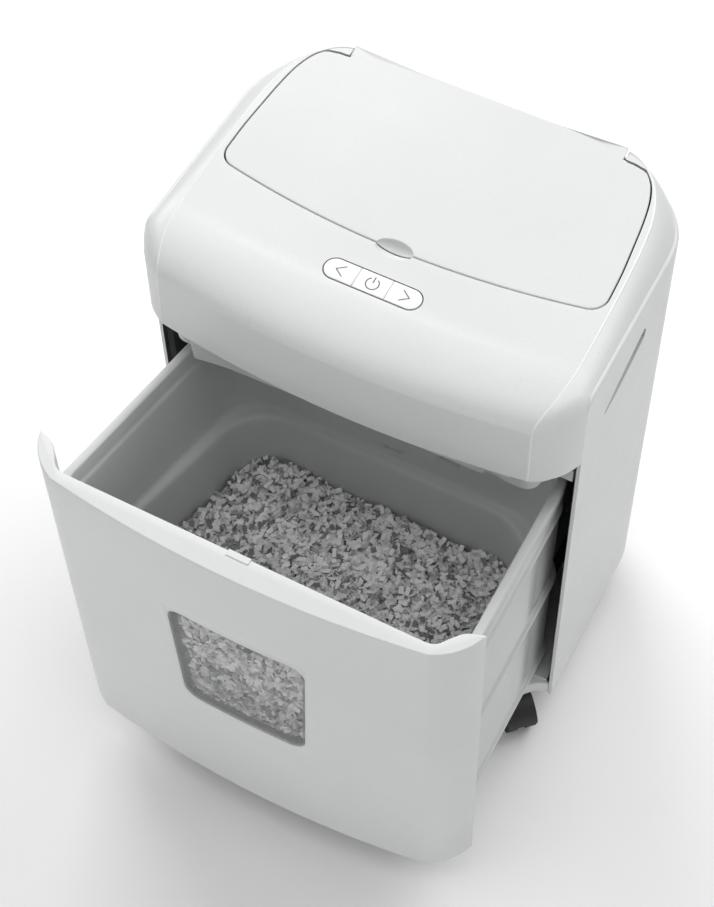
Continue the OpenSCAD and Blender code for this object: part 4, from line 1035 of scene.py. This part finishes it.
def tub():
    """Rim, soft step, rounded ledge and a drafted lower tub, with the outer ribs."""
    # from the bottom up: inset, height, front and back corner radius
    outside = [(20, BIN_Z, 34, 40), (7.5, BIN_Z, 26, 32), (5.6, 72.8, 24, 30), (4.8, 74.5, 24, 30)]
    outside += [(inset, z, 24, 30) for inset, z in (
        (4.4, 82), (3.9, 82.8), (2.6, 83.6), (2.3, 84.6), (2.3, 87.2), (2.6, 88.2), (4.4, 89.2), (4.9, 90.4),
        (4.7, 196), (4.2, 199.4), (2.6, 201), (2.2, 202.2), (2.2, 204.8), (2.6, 206), (4.6, 207),
        (5.0, 208.4))]
    outside.append((4.4, 308, 23, 29))
    outside += [(inset, z, 22, rb) for inset, z, rb in (
        (4.0, 311, 31), (2.4, 312.6, 34), (2.0, 314, 34), (2.0, 316.6, 34), (2.4, 317.8, 34), (4.0, 319, 31),
        (4.2, 320.4, 31), (3.8, 343, 34), (1.6, 344.2, 38), (1.0, 345.2, 39), (0.6, 357.5, 39),
        (0.0, 358.8, 40), (0.0, 361.0, 40), (0.4, 361.7, 39.6), (1.2, RIM_Z, 38.8))]
    # and from the rim down
    inside = [
        (6.4, RIM_Z, 19, 34), (7.2, 361.6, 18.6, 33.4), (7.6, 360.8, 18.4, 33.2), (8.0, 349, 18.4, 33),
        (8.2, 346.4, 18.4, 32.8), (8.9, 344.6, 18.8, 32.6), (9.9, 343.6, 19, 32.4), (10.3, 341.8, 19, 32.2),
        (10.5, 338, 19, 32.4), (10.8, 300, 22, 34), (11.0, 270, 26, 40), (11.2, 259, 28, 42),
        (11.6, 256.4, 28, 43), (12.6, 254.4, 29, 44), (14.4, 253.4, 30, 45), (16.6, 252.8, 31, 46),
        (18.2, 251.6, 32, 47), (19.2, 249.2, 32, 47), (19.6, 245, 32, 47), (20.6, 200, 32, 46),
        (24, 130, 31, 44), (26.5, 84, 30, 42), (27.5, 80, 29, 41), (30, 76.6, 27, 40), (34, 75.2, 24, 37),
    ]
    rings = [tub_ring(inset, z, rf, rb) for inset, z, rf, rb in outside + inside]
    verts, faces = bridge(rings, cap=(True, True))
    piece = make("waste_tub", verts, faces, ["tub"], "drawer", ["bin_tub"], "bin_grey", angle=48)
    rings = [[(x, y, z) for x, z in window_outline(3.5)] for y in (-190, -158)]
    tools = [cutter("tub_window", *bridge(rings, cap=(True, True)))]
    # hollows between the side ribs, and the catch slots in the back wall
    for x0, x1, z0, z1 in ((160.6, 175, 212, 305), (161.2, 175, 94, 193)):
        rings = []
        for x, grow in ((x0, -1.5), (x0 + 0.6, -0.5), (165.2, 0.2), (x1, 1.0)):
            rings.append([(x, y, z) for y, z in rounded_rect(-27 - grow, z0 - grow, 60, z1 + grow, 9)])
        tools.append(cutter("pocket_tool", *bridge(rings, cap=(True, True))))
    v, f = join_mesh([box_mesh((x, 24.0, z), (x + 15, 31.0, z + 4.2))
                      for x, z in ((1.5, 262.5), (51.5, 281.0))])
    tools.append(cutter("slot_tool", v, f))
    carve(piece, tools)


# ---------------------------------------------------------------- shreds
def heap_height(x, y):
    """Height of the heap of shreds at a point of the tub."""
    z = 190 + 5.5 * math.sin(x * 0.021 + 1.0) * math.cos((y + 80) * 0.024)
    z += 3.0 * math.sin(x * 0.055 + y * 0.041)
    z += 4.0 * math.exp(-((x - 10) ** 2 / 9000 + (y + 70) ** 2 / 3500))
    return z


def shreds():
    rng = random.Random(11)
    verts, faces, shades = [], [], []
    ring = [(x, y) for x, y, _ in tub_ring(21.8, 0, 30, 43)]

    def inside(x, y, margin):
        steps = ((0, 0), (margin, 0), (-margin, 0), (0, margin), (0, -margin))
        return all(in_polygon(x + dx, y + dy, ring) for dx, dy in steps)

    # a closed mound below the loose shreds, painted dark grey: painted shade in the gaps between them
    shrink = [offset(ring, d) for d in (0.3, 3, 9, 18, 30, 44, 58, 72)]
    levels = []
    levels.append([(x, y, 79.5) for x, y in offset(ring, 5.5)])
    for k, pts in enumerate(shrink):
        drop = 7.0 if k == 0 else (5.0 if k == 1 else 4.0)
        levels.append([(x, y, heap_height(x, y) - drop) for x, y in pts])
    v, f = bridge(levels, cap=(True, True))
    verts += v
    faces += f
    shades += [(0.3, 0.3, 0.3, 1.0)] * len(f)
    # and its tongue in the window's recess, painted dark grey the same way
    front = [(x, -167.0 if abs(x) > 47 else bow_y(x, 6.0)) for x in np.linspace(-48, 48, 17)]
    levels = [[(x, y, z) for x, y in front + [(48, -158.0), (-48, -158.0)]] for z in (188.6, 191.5)]
    v, f = bridge(levels, cap=(True, True))
    faces += [tuple(i + len(verts) for i in face) for face in f]
    verts += v
    shades += [(0.3, 0.3, 0.3, 1.0)] * len(f)

    def chip(centre, length, width, quat, curl, grey):
        base = len(verts)
        pts = []
        for i in range(3):
            t = (i - 1) / 1.0
            a = curl * t
            for s in (-1, 1):
                pts.append(Vector((t * length / 2 * math.cos(a * 0.5), s * width / 2 * (1 - 0.08 * abs(t)),
                                   -curl * length * 0.22 * t * t)))
        for p in pts:
            q = quat @ p
            verts.append((centre[0] + q.x, centre[1] + q.y, centre[2] + q.z))
        faces.append((base, base + 1, base + 3, base + 2))
        faces.append((base + 2, base + 3, base + 5, base + 4))
        shades.extend([grey, grey])

    def grey_of():
        g = rng.choice((0.98, 0.97, 0.96, 0.94, 0.90, 0.84, 0.70, 0.46, 0.24)) * rng.uniform(0.93, 1.01)
        return (g, g, g * 0.995, 1.0)

    def turn(tilt, wobble):
        return (Quaternion(Z, rng.uniform(0, 6.283)) @ Quaternion(X, tilt())
                @ Quaternion(Y, rng.gauss(0, wobble)))

    def lean(mean):
        return (Quaternion(X, math.radians(90) + rng.gauss(mean, 0.35)) @ Quaternion(Z, rng.uniform(0, 6.283))
                @ Quaternion(X, rng.gauss(0, 0.3)))

    def drop(place, longest, quat, grey=None):
        length, width, curl = rng.uniform(5.0, longest), rng.uniform(3.2, 4.4), rng.uniform(-0.9, 0.9)
        chip(place, length, width, quat, curl, grey or grey_of())

    placed = 0
    while placed < 9500:
        x, y = rng.uniform(-150, 150), rng.uniform(-165, 15)
        if not inside(x, y, 2.5):
            continue
        layer = rng.random()
        z = heap_height(x, y) - 3.2 + 6.5 * layer ** 1.3
        tilt = rng.gauss(0, 0.4 if layer < 0.75 else 0.65)
        drop((x, y, z), 9.5, turn(lambda: tilt, 0.3))
        placed += 1
    # shreds in the window's recess
    for _ in range(1500):
        x = rng.uniform(-50, 50)
        y = rng.uniform(bow_y(x, 7.5), -158)
        rise = 5.0 * rng.random() ** 1.2
        quat = turn(lambda: rng.gauss(0, 0.6), 0.4)
        if abs(x) < 50 - 0.02 * max(0.0, -170 - y) ** 1.5:
            drop((x, y, 191.6 + rise), 9.0, quat)
    # some lean against the foot of the pane
    for _ in range(130):
        x, z = rng.uniform(-48, 48), rng.uniform(191, 205)
        quat = lean(-0.3)
        if abs(x) < 34 or z > 196:
            drop((x, bow_y(x, 8.0), z), 8.0, quat)
    # and some cling to it up to the top of the window
    for _ in range(1300):
        z = rng.uniform(194, 311)
        half = window_half_width(z, -5.2)
        x = rng.uniform(-half, half)
        quat = lean(-0.2)
        # the lower ones are painted darker: painted shade near the foot of the pane
        shadow = 0.55 + 0.4 * min(1.0, max(0.0, (z - 205) / 45))
        grey = tuple(c * shadow for c in grey_of()[:3]) + (1.0,)
        drop((x, bow_y(x, rng.uniform(5.8, 10.0)), z), 8.5, quat, grey)
    piece = make("shred_heap", verts, faces, ["paper"], "drawer", ["paper_shreds"], "paper_white", angle=30,
                 weld=False)
    layer = piece.data.color_attributes.new("shade", "FLOAT_COLOR", "CORNER")
    values = []
    for poly, grey in zip(piece.data.polygons, shades):
        values.extend(list(grey) * poly.loop_total)
    layer.data.foreach_set("color", values)


def in_polygon(x, y, poly):
    """Whether a point is inside a closed outline."""
    hit = False
    j = len(poly) - 1
    for i in range(len(poly)):
        xi, yi = poly[i][0], poly[i][1]
        xj, yj = poly[j][0], poly[j][1]
        if (yi > y) != (yj > y) and x < (xj - xi) * (y - yi) / (yj - yi) + xi:
            hit = not hit
        j = i
    return hit


# ---------------------------------------------------------------- carried-over CAD nodes
CORNERS = ("fr", "fl", "rr", "rl")


def dress():
    """Materials, and soft edges where they are seen, for the CAD nodes that stay as they are."""
    looks = {
        "white": ["base_plate"],
        "skirt": ["head_chassis"],
        "inner": ["bin_rails", "paper_tray", "pressure_plate", "rocker_frame", "mains_inlet", "bin_switch"],
        "dark": ["stripper_combs", "motor_fan", "caster_sockets"],
        "roller": ["feed_rollers", "key_pad"],
        "nylon": ["feed_gear", "main_gear", "idler_gear"],
        "board": ["control_board", "power_board"],
        "red": ["rocker_switch"],
        "steel": ["lid_pins", "pressure_pins", "pressure_springs", "side_plate_left", "side_plate_right",
                  "tie_rods", "feed_shaft", "idler_pin", "motor_can", "motor_shaft"],
        "ground": ["cutter_front", "cutter_rear", "sync_gear_front", "sync_gear_rear", "motor_pinion"],
        "bright": ["panel_screws", "back_screws"],
        "brass": ["cutter_bushes"],
    }
    for k in CORNERS:
        looks["dark"].append("caster_hood_" + k)
        looks.setdefault("tyre", []).append("caster_wheels_" + k)
        looks["steel"].append("caster_axle_" + k)
    for look, nodes in looks.items():
        for node in nodes:
            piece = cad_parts[node]
            mats = piece.data.materials
            if len(mats) == 0:
                mats.append(M[look])
            for i in range(len(mats)):
                mats[i] = M[look]
            for slot in piece.material_slots:
                slot.material = M[look]
    widths = {"base_plate": 1.2, "head_chassis": 0.8, "paper_tray": 0.6, "mains_inlet": 0.5,
              "rocker_frame": 0.5, "rocker_switch": 0.5, "caster_sockets": 0.5}
    widths.update({"caster_hood_" + k: 0.8 for k in CORNERS})
    widths.update({"caster_wheels_" + k: 1.2 for k in CORNERS})
    for node, width in widths.items():
        soften(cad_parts[node], width, 2, 50)


camera()
studio()
head_cover()
crease_beads()
lid_piece()
keys()
cabinet()
base_lip()
apron()
panel()
window()
tub()
shreds()
dress()
